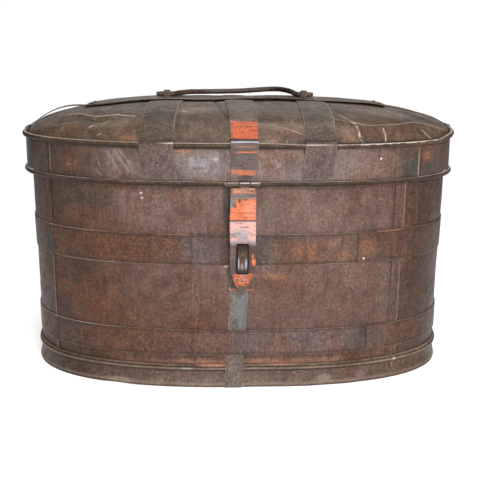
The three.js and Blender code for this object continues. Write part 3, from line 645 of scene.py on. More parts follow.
def wornFinish(name, look, patches=(), scratches=(), tones=()):
    material = bpy.data.materials.new(name)
    material.use_nodes = True
    tree = material.node_tree
    shader = tree.nodes["Principled BSDF"]
    where = addNode(tree, "TexCoord").outputs["Object"]

    def noiseOf(kind):
        return cloud(tree, where, *clouds[kind])

    def centred(value):
        return calc(tree, "SUBTRACT", value, 0.5)

    def layer(amount, over):
        return blendColours(tree, amount, colour, over)

    # the sheet's own colours
    ragged, soft = centred(noiseOf("ragged")), centred(noiseOf("soft"))
    colour = blendColours(tree, ramp(tree, noiseOf("broad"), *narrow), look["deep"], look["middle"])
    for tone in tones:
        colour = layer(patchMask(tree, where, soft, tone, 0.8, 2.2), tone["colour"])
    colour = layer(ramp(tree, noiseOf("bloom"), *limits["bloom"], 0, look["bloomAmount"]), look["bloom"])
    mottle = ramp(tree, noiseOf("mottle"), *limits["mottle"], 0, look["mottle"])
    colour = layer(mottle, look["pale"])

    # rust
    rustSpread = noiseOf("rust")
    for place in look["rustSpots"]:
        mask = patchMask(tree, where, soft, place, 0.7, 2.4)
        rustSpread = calc(tree, "MULTIPLY_ADD", mask, 0.2, rustSpread)
    rustGrain = noiseOf("rustGrain")
    rustSpread = ramp(tree, rustSpread, look["rustFrom"], look["rustFrom"] + 0.14)
    rustFine = ramp(tree, rustGrain, *limits["rustGrain"], 0, look["rust"])
    rustMask = calc(tree, "MULTIPLY", rustSpread, rustFine)
    colour = layer(rustMask, look["rustColour"])

    # streaks, mottling and specks
    streaks = cloud(tree, where, look["streakScale"], 5, 0.65, stretch=look["streakStretch"])
    colour = shadeBy(tree, colour, streaks, wide, look["streak"], look["tone"])
    colour = shadeBy(tree, colour, noiseOf("patchy"), narrow, 0.16)
    colour = shadeBy(tree, colour, noiseOf("fine"), narrow, look["mottleDepth"])
    flecks = noiseOf("flecks")
    colour = layer(ramp(tree, flecks, *limits["darkFlecks"], 0, look["specks"]), darkGrimeAndShade)
    colour = layer(ramp(tree, flecks, *limits["paleFlecks"], 0, look["specks"]), look["fleck"])

    # patches, scuffs and scratches
    grain = noiseOf("grain")
    fineRagged = centred(grain)
    breaks = ramp(tree, rustGrain, *limits["breaks"])
    for patch in patches:
        mask = patchMask(tree, where, fineRagged if patch.get("fine") else ragged, patch)
        if patch.get("broken"):
            kept = calc(tree, "MULTIPLY_ADD", breaks, patch["broken"], 1 - patch["broken"])
            mask = calc(tree, "MULTIPLY", mask, kept)
        colour = layer(mask, patch["colour"])
    if look["scuff"]:
        scuffs = cloud(tree, where, *clouds["scuff"], stretch=look["scuffStretch"])
        colour = layer(ramp(tree, scuffs, *limits["scuff"], 0, look["scuff"]), scuffDark)
    colour = shadeBy(tree, colour, grain, wide, look["grain"])
    for scratch in scratches:
        colour = layer(scratchMask(tree, where, ragged, scratch), scratch["colour"])

    # edges bared by wear, which on rolls, bands and straps is partly a painted highlight, with grime behind
    # them; then painted highlights and painted shade along creases and under rolls
    if look["edgeWidth"]:
        near = addNode(tree, "Attribute", attribute_name="nearEdge").outputs["Fac"]
        reach = calc(tree, "MULTIPLY_ADD", centred(noiseOf("edge")), look["edgeRagged"], near)
        bareAndHighlight = ramp(tree, reach, edgeReach - look["edgeWidth"], edgeReach + 0.1, 0, look["edgeAmount"])
        most = look["edgeMost"]
        wornAndHighlight = ramp(tree, noiseOf("edgePatches"), *limits["edgePatches"], look["edgeLeast"], most)
        for place in look["edgeSpots"]:
            wornAndHighlight = calc(tree, "MAXIMUM", wornAndHighlight, patchMask(tree, where, ragged, place, 0.6))
        colour = layer(calc(tree, "MULTIPLY", bareAndHighlight, wornAndHighlight), look["edgeColour"])
        darkening = ramp(tree, near, edgeReach - 5.5, edgeReach - 1.2, 0, look["edgeGrime"])
        below = ramp(tree, near, edgeReach - 1.2, edgeReach - 0.6, 1, 0)
        colour = layer(calc(tree, "MULTIPLY", darkening, below), darkGrimeAndShade)
    if look["creaseAmount"]:
        crease = addNode(tree, "Attribute", attribute_name="crease").outputs["Fac"]
        light = calc(tree, "MULTIPLY_ADD", ragged, 0.9, crease)
        colour = layer(ramp(tree, light, 0.3, 1.0, 0, look["creaseAmount"]), look["creaseColour"])
        dark = calc(tree, "MULTIPLY_ADD", ragged, 0.6, crease)
        colour = layer(ramp(tree, dark, -0.2, -0.85, 0, 0.75), darkGrimeAndShade)

    # gloss and relief
    gloss = ramp(tree, noiseOf("gloss"), *wide, *look["gloss"])
    roughness = calc(tree, "MULTIPLY_ADD", rustMask, 0.3, gloss)
    height = calc(tree, "MULTIPLY_ADD", grain, 0.8, calc(tree, "MULTIPLY", rustMask, 0.8))
    height = calc(tree, "MULTIPLY_ADD", mottle, 0.5, height)
    height = calc(tree, "MULTIPLY_ADD", flecks, -0.6, height)
    relief = {"Height": height, "Strength": look["bump"], "Distance": 0.0006}
    tree.links.new(colour, shader.inputs["Base Color"])
    tree.links.new(roughness, shader.inputs["Roughness"])
    tree.links.new(addNode(tree, "Bump", relief).outputs[0], shader.inputs["Normal"])
    shader.inputs["Metallic"].default_value = look["metallic"]
    shader.inputs["Specular IOR Level"].default_value = look["specular"]
    return material


# Dome shape, with the dents and creases of the real sheet

domeForm = {"halfWidth": 272.6, "halfDepth": 166.6, "foot": 296.0, "rise": 42.0, "rimPower": 3.0}


def domePoint(x, along, lift):
    # a point of the dome, lifted; along runs from -1 at the front rim to 1 at the back rim
    power = oval["power"]
    across = np.clip(np.abs(x) / (domeForm["halfWidth"] + lift), 0, 1) ** power
    y = along * (domeForm["halfDepth"] + lift) * (1 - across) ** (1 / power)
    away = (across + np.abs(along) ** power * (1 - across)) ** (1 / power)
    height = np.sqrt(np.clip(1 - away ** domeForm["rimPower"], 0, None))
    return x + 0 * y, y, domeForm["foot"] + (domeForm["rise"] + lift) * height, away


def domeHalfDepth(x, lift):
    # how far back the lifted dome reaches at x
    power = oval["power"]
    across = (np.abs(x) / (domeForm["halfWidth"] + lift)) ** power
    return (domeForm["halfDepth"] + lift) * (1 - across) ** (1 / power)


def domeNormal(x, y, z):
    up = np.stack(
        [
            x / domeForm["halfWidth"] ** 2,
            y / domeForm["halfDepth"] ** 2,
            np.maximum(z - domeForm["foot"], 0.2) / domeForm["rise"] ** 2,
        ],
        1,
    )
    return up / np.linalg.norm(up, axis=1)[:, None]


domeWaves = [(1.5, (78, 78, math.inf), (0, 3, 0.4)), (0.55, (33, 33, math.inf), (5, 0, 0.7))]
fineWaves = [(0.14, (12, 12, 12), (0, 0, 0))]
creaseForm = {
    "light": 1.4,
    "lightWidth": 1.3,
    "dark": 0.75,
    "darkWidth": 1.9,
    "valleyY": 29,
    "valleyWidth": 9,
    "valleyMiddle": -5,
    "valleyReach": 200,
    "valleyFade": 20,
    "valleyDepth": 1.3,
    "rimPower": 8,
    "rimSteep": 2.5,
}
# which way a crease's painted shadow line lies: for one that runs along the dome, and for one that runs
# down it
levelShadow = (0, 1.6, 1.8)
steepShadow = (3.2, 0.6, 0.6)
# each crease has its line, how far it lifts the sheet, its half width, how strong its painted highlight is
# (below nought, a painted shade line) and, where it runs down the dome, the way of its painted shadow line
creases = [
    (
        [(-211, -77, 322), (-196, -87, 324), (-177, -103, 323), (-150, -112, 325), (-128, -119, 325)],
        2.2,
        16,
        1.0,
    ),
    ([(-196, -100, 321), (-170, -115, 321), (-155, -117, 323)], -2.4, 13, -0.8),
    ([(-185, -128, 311), (-168, -127, 316)], 1.5, 9, 0.45),
    ([(-182, -134, 308), (-168, -133, 314), (-156, -122, 321)], -1.5, 9, -0.5),
    ([(-171, -141, 306), (-154, -141, 311)], 1.3, 8, 0.3),
    ([(-175, -142, 300), (-167, -141, 307)], 1.2, 7, 0.35),
    (
        [(104, -130, 324), (127, -138, 318), (148, -136, 316), (185, -121, 316), (207, -100, 318)]
        + [(226, -93, 314), (256, -72, 304)],
        2.4,
        18,
        0.7,
    ),
    (
        [(114, -119, 326), (121, -130, 322), (132, -142, 315), (134, -152, 306), (139, -154, 299)],
        1.8,
        12,
        0.85,
        steepShadow,
    ),
    ([(150, -128, 318), (190, -112, 320), (214, -92, 320)], -1.8, 14, -0.4),
    ([(164, -135, 313), (166, -143, 305), (165, -146, 298)], 1.3, 9, 0.85, steepShadow),
    ([(217, -110, 310), (224, -113, 304), (231, -110, 299)], 1.4, 9, 0.85, steepShadow),
    ([(160, -62, 332), (185, -74, 327), (209, -89, 320)], 1.2, 12, 0.5),
    ([(209, -45, 326), (233, -60, 319), (255, -60, 309)], 1.3, 12, 0.6),
    ([(17, -146, 320), (42, -153, 316), (68, -159, 309)], 1.5, 12, 0.6),
    ([(49, -164, 303), (49, -165, 300)], 1.0, 7, 0.6, steepShadow),
    ([(22, -134, 325), (48, -140, 322), (65, -150, 316)], -1.3, 11, -0.4),
    ([(-33, 13, 338), (-25, -112, 331), (-18, -132, 326)], -1.6, 9, -0.9),
    ([(-116, -115, 327), (-78, -115, 330)], 1.2, 8, 0.8),
    ([(-100, -155, 306), (-60, -158, 309)], -1.0, 10, 0.0),
    ([(-178, -128, 312), (-152, -112, 323), (-126, -98, 330)], 1.6, 12, 0.5),
    ([(-226, -96, 310), (-203, -104, 314), (-182, -104, 320)], 1.5, 11, 0.5),
    ([(-252, -40, 316), (-222, -30, 327), (-190, -10, 333)], 1.3, 10, 0.4),
    ([(108, -146, 312), (124, -148, 312), (140, -152, 305)], 1.2, 12, 0.4),
]


def ontoDome(point):
    # moves a point along its ray from the middle of the rim until it lies on the dome
    x, y, z = point
    power = oval["power"]
    low, high = 0.7, 1.3
    for turn in range(30):
        t = (low + high) / 2
        across, deep = abs(t * x / domeForm["halfWidth"]), abs(t * y / domeForm["halfDepth"])
        away = (across**power + deep**power) ** (1 / power)
        outside = (t * (z - domeForm["foot"]) / domeForm["rise"]) ** 2 + away ** domeForm["rimPower"] > 1
        low, high = (low, t) if outside else (t, high)
    return t * x, t * y, domeForm["foot"] + t * (z - domeForm["foot"])


def fineLine(line):
    # the line in quarter steps, laid onto the dome
    corners = np.array(line, float)
    points = []
    for start, end in zip(corners[:-1], corners[1:]):
        points += [start + (end - start) * share for share in (0, 0.25, 0.5, 0.75)]
    return [ontoDome(point) for point in [*points, corners[-1]]]


creases = [
    (fineLine(line), lift, width, light, *(shadow or [levelShadow]))
    for line, lift, width, light, *shadow in creases
]


def distanceToLine(points, line):
    nearest = np.full(len(points), 1e9)
    for start, end in zip(line[:-1], line[1:]):
        start, along = np.array(start, float), np.array(end, float) - np.array(start, float)
        share = np.clip(((points - start) @ along) / (along @ along), 0, 1)
        nearest = np.minimum(nearest, np.linalg.norm(points - start - share[:, None] * along, axis=1))
    return nearest


def domeShift(x, y, z, away, creased=True):
    # how far the sheet stands out of its true shape, and the painted highlights and shadows along its
    # creases
    points = np.stack([x, y, z], 1)
    out = addWaves(points, domeWaves + fineWaves if creased else domeWaves)
    light = np.zeros(len(points))
    form = creaseForm
    if creased:
        for line, lift, width, strength, shadow in creases:
            distance = distanceToLine(points, line)
            out += lift * np.clip(1 - distance / width, 0, 1) ** 2
            light += form["light"] * strength * np.exp(-((distance / form["lightWidth"]) ** 2))
            if strength > 0:
                under = distanceToLine(points + shadow, line)
                light -= form["dark"] * strength * np.exp(-((under / form["darkWidth"]) ** 2))
        sides = np.exp(-(((np.abs(y) - form["valleyY"]) / form["valleyWidth"]) ** 2))
        left = form["valleyReach"] - np.abs(x - form["valleyMiddle"])
        length = np.clip(left / form["valleyFade"], 0, 1)
        out -= form["valleyDepth"] * sides * length
    return out * np.clip((1 - away ** form["rimPower"]) * form["rimSteep"], 0, 1), light


def liftedDome(x, along, lift, creased=True):
    # the dented dome's points, with the painted highlights and shadows of its creases
    x, y, z, away = domePoint(x, along, lift)
    shift, light = domeShift(x, y, z, away, creased)
    moved = np.stack([x, y, z], 1) + domeNormal(x, y, z) * shift[:, None]
    return moved[:, 0], moved[:, 1], moved[:, 2], light


# Strips that run up the front or the back of the body

def uprightStrip(name, rows, columns, step, side=-1):
    # rows of (height, out, left, right), from the foot up, each column a share of the width
    rows = np.array(rows, float)
    length = wayAlong(rows[:, :2])
    piece, share, along = gridPiece(name, columns, spreadAll(length, step))
    if side > 0:
        share = 1 - share
    z, out, left, right = (np.interp(along, length, rows[:, k]) for k in range(4))
    x = left + (right - left) * share
    out = out + uneven(*facePoint(x, side, 0), z, bodyDents) + wallFace(z)
    setPoints(piece, *outlineAt(placeAt(x, side, out.mean()), out), z)
    setUv(piece, (right - left) * share, along)
    across = np.minimum(share, 1 - share) * (right - left)
    markEdges(piece, np.minimum(across, np.minimum(along, length[-1] - along)))
    return piece


def rolledKnuckle(left, right, form):
    # a strap's end rolled round the pin
    radius = form["radius"]
    columns = [left, left + 0.8, right - 0.8, right]
    piece, x, turn = gridPiece("tube", columns, np.radians(np.linspace(-70, 270, 25)))
    setPoints(piece, x, form["y"] - radius * np.cos(turn), form["z"] + radius * np.sin(turn))
    setUv(piece, x - left, turn * radius)
    markEdges(piece, np.minimum(x - left, right - x))
    giveThickness(piece, form["tube"], 0.25)
    return piece


# Body pieces

seams = {
    "seam_left": {"x": -236, "side": -1, "width": 6, "out": 1.3},
    "seam_front": {"x": -58, "side": -1, "width": 6, "out": 0.8},
    "seam_right": {"x": 189, "side": -1, "width": 11.4, "out": 1.3},
    "seam_back": {"x": 40, "side": 1, "width": 6, "out": 1.3},
}
seamForm = {"foot": 29, "top": 285, "step": 4.5, "along": 1.0, "gap": 0.2, "bevel": 0.3}
wallForm = {"foot": 1.3, "top": 289.6, "thickness": 0.8, "step": 4.5}


def seamPlace(name):
    return float(placeAt(seams[name]["x"], seams[name]["side"]))


def makeWalls(material):
    left, front, right, back = (seamPlace("seam_" + side) for side in ("left", "front", "right", "back"))
    panels = {
        "wall_left_end": (back, left),
        "wall_front_left": (left, front),
        "wall_front_right": (front, right),
        "wall_right_end": (right, back + perimeter),
    }
    profile = [(0, wallForm["foot"]), (0, wallForm["top"])]
    step = wallForm["step"]
    for name, (start, end) in panels.items():
        panel = aroundOval(name + "_sheet", profile, start, end, step, bodyDents, step, leans=True)
        finishPiece(panel, name, "case", "rusted_sheet", material, wallForm["thickness"])


def makeSeams(material):
    form = seamForm
    for name, seam in seams.items():
        middle, half, out = seamPlace(name), seam["width"] / 2, seam["out"]
        profile = [(out, form["foot"]), (out, form["top"])]
        steps = (form["step"], bodyDents, form["along"])
        fold = aroundOval(name + "_fold", profile, middle - half, middle + half, *steps, leans=True)
        finishPiece(fold, name, "case", "rusted_sheet", material, out - form["gap"], form["bevel"])


bands = {
    "upper_band": {"low": 154.5, "high": 192.5, "joint": 160.1, "lap": (138.5, 180.5), "overStrap": False},
    "lower_band": {"low": 41.0, "high": 73.6, "joint": 166.0, "lap": (153.9, 178.8), "overStrap": True},
}
bandForm = {
    "out": 1.3,
    "thickness": 1.0,
    "bevel": 0.35,
    "rise": 1.3,
    "ramp": 2.0,
    "lapOut": 2.6,
    "gap": 0.3,
    "step": 3.2,
    "strap": (-7, 13.5),
}
frontStrapForm = {
    "left": (-21.9, -14.0),
    "width": 22.0,
    "rows": [
        (0.4, 6.0),
        (3.2, 5.4),
        (14.0, 3.2),
        (18.5, 2.7),
        (22.0, 5.2),
        (26.8, 5.2),
        (31.5, 1.5),
        (152.0, 1.3),
    ],
    "thickness": 1.0,
    "bevel": 0.3,
}


def bandLumps(overStrap):
    # the places and half widths of what a hoop rides over
    lumps = [(seamPlace(name), seam["width"] / 2) for name, seam in seams.items()]
    if overStrap:
        x, half = bandForm["strap"]
        lumps.append((frontPlace(x), half))
    return lumps


def bandRise(place, overStrap):
    total = np.zeros(len(place))
    for middle, half in bandLumps(overStrap):
        away = np.abs(np.mod(place - middle + perimeter / 2, perimeter) - perimeter / 2)
        total = np.maximum(total, np.clip(1 - (away - half) / bandForm["ramp"], 0, 1))
    return total * total * (3 - 2 * total) * bandForm["rise"]


def bandStops(start, overStrap):
    stops = []
    for middle, half in bandLumps(overStrap):
        for edge in (-half - 2, -half - 1, -half, half, half + 1, half + 2):
            stops.append(start + (middle + edge - start) % perimeter)
    return stops


def makeBands(material, lapMaterial):
    form = bandForm
    sheet = (form["thickness"], form["bevel"])
    for name, band in bands.items():
        start = frontPlace(band["joint"]) - perimeter + form["gap"] / 2
        end = start + perimeter - form["gap"]
        profile = [(form["out"], band["low"]), (form["out"], band["high"])]
        stops = bandStops(start, band["overStrap"])
        hoop = aroundOval(
            name + "_hoop",
            profile,
            start,
            end,
            form["step"],
            bodyDents,
            4.0,
            stops,
            lambda place: bandRise(place, band["overStrap"]),
            leans=True,
        )
        finishPiece(hoop, name, "case", "band_sheet", material, *sheet)
        start, end = (frontPlace(x) for x in band["lap"])
        profile = [(form["lapOut"], band["low"] + 0.2), (form["lapOut"], band["high"] - 0.2)]
        lap = aroundOval(name + "_lap_end", profile, start, end, form["step"], bodyDents, 3.0, leans=True)
        finishPiece(lap, name + "_lap", "case", "band_sheet", lapMaterial, *sheet)


baseForm = {
    "skirt": [(4.2, 0.5), (4.7, 1.4), (4.0, 3.2), (1.8, 14.0), (1.1, 20.8)],
    "skirtThickness": 0.8,
    "foot": [(-11.1, 0.45), (0.0, 0.45)],
    "footThickness": 0.4,
    "footLevel": 4,
    "rollOut": 1.3,
    "rollZ": 23.7,
    "rollRadius": 3.1,
    "rollBack": -1.6,
    "rollLevel": 25,
    "ridgeOut": 1.2,
    "ridgeZ": 28.2,
    "ridgeRadius": 1.3,
    "grooveDark": 0.9,
    "grooveWidth": 0.7,
}
bodyRim = {"out": -3.8, "z": 286.9, "radius": 2.7}


def makeBase(skirtMaterial, beadMaterial, darkMaterial):
    form = baseForm
    skirt = aroundOval("base_skirt_sheet", form["skirt"], 0, perimeter, 3.0, bodyDents, 4.0, leans=True)
    mergePoints(skirt)
    finishPiece(skirt, "base_skirt", "case", "rusted_sheet", skirtMaterial, form["skirtThickness"], 0.2)
    foot = aroundOval("foot_flange", form["foot"], 0, perimeter, 4, bodyDents, 5.0, level=form["footLevel"])
    mergePoints(foot)
    finishPiece(foot, "foot_ring", "case", "rusted_sheet", darkMaterial, form["footThickness"])

    # the bead's roll with a small ridge above it, with painted shade under the roll and in the groove
    # between them
    rollZ, rollRadius, back = form["rollZ"], form["rollRadius"], form["rollBack"]
    ridgeZ, ridgeRadius = form["ridgeZ"], form["ridgeRadius"]
    roll = roundProfile(form["rollOut"], rollZ, rollRadius, -95, 68, 10)
    ridge = roundProfile(form["ridgeOut"], ridgeZ, ridgeRadius, -40, 110, 6)
    profile = roll + ridge + [(back, ridgeZ + ridgeRadius), (back, rollZ - rollRadius)] + roll[:1]
    darkening = underRoll(rollZ, rollRadius)

    def beadShade(place, z):
        groove = np.exp(-(((z - rollZ - rollRadius * 0.9) / form["grooveWidth"]) ** 2))
        return darkening(place, z) - form["grooveDark"] * groove

    options = {"level": form["rollLevel"], "crest": 0.2, "shade": beadShade}
    bead = makeRoll("base_bead_roll", profile, 0, perimeter, bodyDents, 3.6, leans=True, **options)
    finishPiece(bead, "base_bead", "case", "rusted_sheet", beadMaterial, angle=60)

    z, radius = bodyRim["z"], bodyRim["radius"]
    profile = roundProfile(bodyRim["out"], z, radius, sides=12)
    shade = underRoll(z, radius)
    wire = makeRoll("body_rim_roll", profile, 0, perimeter, bodyDents, 5.0, level=z, shade=shade)
    finishPiece(wire, "body_rim_wire", "case", "dark_steel", darkMaterial, angle=60)


def makeFrontStrap(material):
    form = frontStrapForm
    footLeft, topLeft = form["left"]
    top = form["rows"][-1][0]
    rows = []
    for z, out in form["rows"]:
        left = footLeft + (topLeft - footLeft) * z / top
        rows.append((z, out, left, left + form["width"]))
    strap = uprightStrip("front_strap_strip", rows, np.linspace(0, 1, 10), 2.5)
    finishPiece(strap, "front_strap", "case", "strap_steel", material, form["thickness"], form["bevel"])


stapleForm = {
    "left": -6.7,
    "right": 4.4,
    "low": 147.3,
    "high": 182.4,
    "foot": 3.1,
    "reach": 15.76,
    "thickness": 2.2,
    "bevel": 0.5,
    "bulge": 0.35,
    "squareness": 2.7,
}
staplePlateForm = {
    "left": -16.8,
    "right": 12.8,
    "low": 124.0,
    "high": 190.0,
    "out": 2.8,
    "thickness": 1.2,
    "bevel": 0.35,
}


def makeStaple(stapleMaterial, plateMaterial):
    form = staplePlateForm
    rows = [(form[key], form["out"], form["left"], form["right"]) for key in ("low", "high")]
    plate = uprightStrip("staple_plate_sheet", rows, np.linspace(0, 1, 12), 3.0)
    sheet = (form["thickness"], form["bevel"])
    finishPiece(plate, "staple_plate", "case", "strap_steel", plateMaterial, *sheet)

    form = stapleForm
    left, right = form["left"], form["right"]
    middle, half = (form["low"] + form["high"]) / 2, (form["high"] - form["low"]) / 2
    turns = np.radians(np.linspace(-90, 90, 19))
    bow = 2 / form["squareness"]
    outs = form["foot"] + form["reach"] * np.cos(turns).clip(0) ** bow
    heights = middle + half * np.sign(np.sin(turns)) * np.abs(np.sin(turns)) ** bow
    wall = -oval["halfDepth"] - float(wallFace(middle))
    loop, x, step = gridPiece("staple_loop", np.linspace(left, right, 6), np.arange(len(turns)))
    index = step.astype(int)
    bulge = 1 - ((x - (left + right) / 2) / (right - left) * 2) ** 2
    setPoints(loop, x, wall - outs[index] - form["bulge"] * bulge * np.cos(turns[index]), heights[index])
    setUv(loop, x, step * 3)
    markEdges(loop, np.minimum(x - left, right - x))
    finishPiece(loop, "staple", "case", "dark_steel", stapleMaterial, form["thickness"], form["bevel"], 3)


hingeForm = {
    "y": 176.6,
    "z": 253.6,
    "radius": 4.2,
    "tube": 1.3,
    "left": (-113.3, -72.4),
    "right": (72.4, 108.3),
    "gap": 0.4,
    "leaf": [(198, 1.5), (240, 1.5), (250.2, 12.4)],
    "leafColumns": [0, 0.11, 0.22, 1 / 3 + 0.01, 0.42, 0.5, 0.58, 2 / 3 - 0.01, 0.78, 0.89, 1],
    "cut": 242.5,
    "thickness": 1.2,
    "bevel": 0.3,
}


def makeHingeLeaves(material):
    form = hingeForm
    for side in ("left", "right"):
        left, right = form[side]
        third = (right - left) / 3
        rows = [(z, out, left, right) for z, out in form["leaf"]]
        name = f"hinge_leaf_{side}_plate"
        leaf = uprightStrip(name, rows, form["leafColumns"], 2.0, side=1)
        left, right = left + third, right - third
        deleteFaces(leaf, lambda c: c.z > form["cut"] and not left < c.x < right)
        giveThickness(leaf, form["thickness"], form["bevel"])
        tube = rolledKnuckle(left + form["gap"], right - form["gap"], form)
        finishPiece(joinPieces([leaf, tube], name), f"hinge_leaf_{side}", "case", "strap_steel", material)


# Lid pieces

lidForm = {
    "skirtOut": 5.0,
    "skirtFoot": 256.9,
    "skirtTop": 293.9,
    "lapOut": 5.9,
    "laps": (-230.6, 211.9),
    "beadOut": 6.2,
    "beadZ": 253.6,
    "beadRadius": 2.8,
    "beadOpen": (-20.8, 16.6),
    "rimOut": 6.8,
    "rimZ": 297.6,
    "rimRadius": 3.4,
    "rollSides": 14,
    "rollStep": 3.6,
    "lowHighlightStops": (20, 90, 228, 250),
    "upperShade": 1.3,
    "upperShadeFrom": 0.45,
    "upperShadeFade": 0.3,
}
domeJoints = (-97.0, -1.4, 89.2)
domeEnd = 0.9995


def makeDome(material):
    bounds = [-domeEnd, *(x / domeForm["halfWidth"] for x in domeJoints), domeEnd]
    names = ["dome_left_end", "dome_middle_left", "dome_middle_right", "dome_right_end"]
    # columns that lie closer towards both ends, as the dome falls steeply there
    quarter = math.pi / 2
    turns = np.linspace(-quarter, quarter, 300)
    spacing = 0.55 * np.sin(turns) + 0.45 * turns / quarter
    spacing *= domeEnd / spacing[-1]
    rows = np.sin(np.linspace(-quarter, quarter, 220))
    for name, low, high in zip(names, bounds[:-1], bounds[1:]):
        inner = [each for each in spacing if low + 0.003 < each < high - 0.003]
        sheet, across, along = gridPiece(name + "_sheet", [low, *inner, high], rows)
        x, y, z, light = liftedDome(across * domeForm["halfWidth"], along, 0)
        setPoints(sheet, x, y, z)
        setUv(sheet, x, y)
        markEdges(sheet)
        markLightAndShade(sheet, light)
        finishPiece(sheet, name, "lid", "lid_sheet", material, 0.8, angle=60)


def lowHighlightShare(place):
    # where the rim roll's painted highlight lies low, with painted shade above it, at the right of the
    # front
    return np.interp(place, [frontPlace(x) for x in lidForm["lowHighlightStops"]], [0, 1, 1, 0])


# painted shade: under the roll, and on its upper side where its painted highlight lies low
def rimShade(place, z):
    form = lidForm
    level, radius = form["rimZ"], form["rimRadius"]
    share = lowHighlightShare(place)
    above = np.clip(((z - level) / radius - form["upperShadeFrom"]) / form["upperShadeFade"], 0, 1)
    return (1 - share) * underRoll(level, radius)(place, z) - form["upperShade"] * share * above


# where the painted highlight lies round the roll: lower at the right of the front
def rimCrest(place):
    return (3 - 2.0 * lowHighlightShare(place)) / 14


def makeLidEdges(skirtMaterial, rollMaterial):
    form = lidForm
    left, right = (frontPlace(x) for x in form["laps"])
    skirts = {
        "lid_skirt_front": (form["skirtOut"], left - 6, right + 6, 0.7, 0.0),
        "lid_skirt_back": (form["lapOut"], right, left + perimeter, 0.8, 0.25),
    }
    for name, (out, start, end, thickness, bevel) in skirts.items():
        profile = [(out, form["skirtFoot"]), (out, form["skirtTop"])]
        skirt = aroundOval(name + "_sheet", profile, start, end, 3.0, lidDents, 4.0)
        finishPiece(skirt, name, "lid", "lid_sheet", skirtMaterial, thickness, bevel)

    left, right = (frontPlace(x) for x in form["beadOpen"])
    ways = {"rim": (0, perimeter, rimCrest, rimShade)}
    ways["bead"] = (right, left + perimeter, rollCrest, underRoll(form["beadZ"], form["beadRadius"]))
    for part, (start, end, crest, shade) in ways.items():
        z = form[part + "Z"]
        profile = roundProfile(form[part + "Out"], z, form[part + "Radius"], sides=form["rollSides"])
        options = {"crest": crest, "level": z, "shade": shade}
        roll = makeRoll(f"lid_{part}_roll", profile, start, end, lidDents, form["rollStep"], **options)
        if part == "bead":
            capEnds(roll)
        finishPiece(roll, "lid_" + part, "lid", "lid_sheet", rollMaterial, angle=60)


lidStraps = {
    "left": {"front": (-120.9, -81.4), "back": (-113.3, -72.4), "lean": 4.5},
    "centre": {"front": (-15.8, 16.2), "back": (-21.4, 15.5), "lean": 0.0},
    "right": {"front": (69.8, 106.4), "back": (72.4, 108.3), "lean": -2.0},
}
strapForm = {
    "thickness": 1.2,
    "bevel": 0.3,
    "skirtFace": 6.5,
    "backOut": 0.9,
    "foot": 258.6,
    "rampFoot": 267.6,
    "bend": 287.4,
    "overRoll": 5.2,
    "domeLift": 1.5,
    "cup": 0.5,
    "cut": (-6.0, 7.0),
    "hingedColumns": [0, 0.1, 0.22, 1 / 3 - 0.01, 0.42, 0.5, 0.58, 2 / 3 + 0.01, 0.78, 0.9, 1],
    "columns": [0, 0.12, 0.27, 0.5, 0.66, 0.91, 1],
}


def strapStations(hinged):
    # the way of a lid strap, from its front foot over the dome to its back foot
    foot, bend = strapForm["foot"], strapForm["bend"]
    stations = [("front", z) for z in spread(foot, bend, 2.5)]
    if not hinged:
        stations = [("front", foot - 4), ("front", foot - 2), *stations]
    stations += [("frontRoll", turn) for turn in np.linspace(-25, 95, 13)]
    stations += [("dome", along) for along in np.sin(np.linspace(-1.43, 1.43, 130))]
    stations += [("backRoll", turn) for turn in np.linspace(95, -25, 13)]
    stations += [("back", z) for z in spread(strapForm["rampFoot"], bend, 2.5)[::-1]]
    if hinged:
        return stations + [("ramp", share) for share in (0.25, 0.5, 0.75, 1.0)]
    return stations + [("back", foot + 4.5), ("back", foot)]


def rollPoint(turn):
    # a strap's turn over the rim roll, as how far out and how high it is
    turn = math.radians(turn)
    out = lidForm["rimOut"] + strapForm["overRoll"] * math.cos(turn)
    return out, lidForm["rimZ"] + strapForm["overRoll"] * math.sin(turn)


def strapRow(kind, value, share, strap):
    front, back = strap["front"], strap["back"]
    if kind == "dome":
        mix = float(np.clip(1 + value, 0, 1))
        left, right = (front[k] + (back[k] - front[k]) * mix for k in (0, 1))
        x = left + (right - left) * share
        cup = strapForm["cup"] * (1 - (2 * share - 1) ** 2)
        x, y, z, light = liftedDome(x, np.full(len(share), value), strapForm["domeLift"])
        return x, y, z + cup, light, right - left
    side = -1 if kind.startswith("front") else 1
    left, right = front if side < 0 else back
    x = left + (right - left) * share
    out, z = strapForm["skirtFace"], value
    if kind.endswith("Roll"):
        out, z = rollPoint(value)
    elif kind == "ramp":
        low = strapForm["rampFoot"]
        out = out + (hingeForm["y"] - oval["halfDepth"] - out) * value
        z = low + (hingeForm["z"] + hingeForm["radius"] - low) * value
    elif side < 0:
        x = x + strap["lean"] * (strapForm["bend"] - z) / (strapForm["bend"] - strapForm["foot"])
    level = lidForm["rimZ"] if kind.endswith("Roll") else z
    out = out + uneven(*facePoint(x, side, 0), level, lidDents)
    if side > 0 and kind != "ramp":
        out = out + strapForm["backOut"]
    px, py = outlineAt(placeAt(x, side, float(np.mean(out))), out)
    return px, py, z, 0, right - left


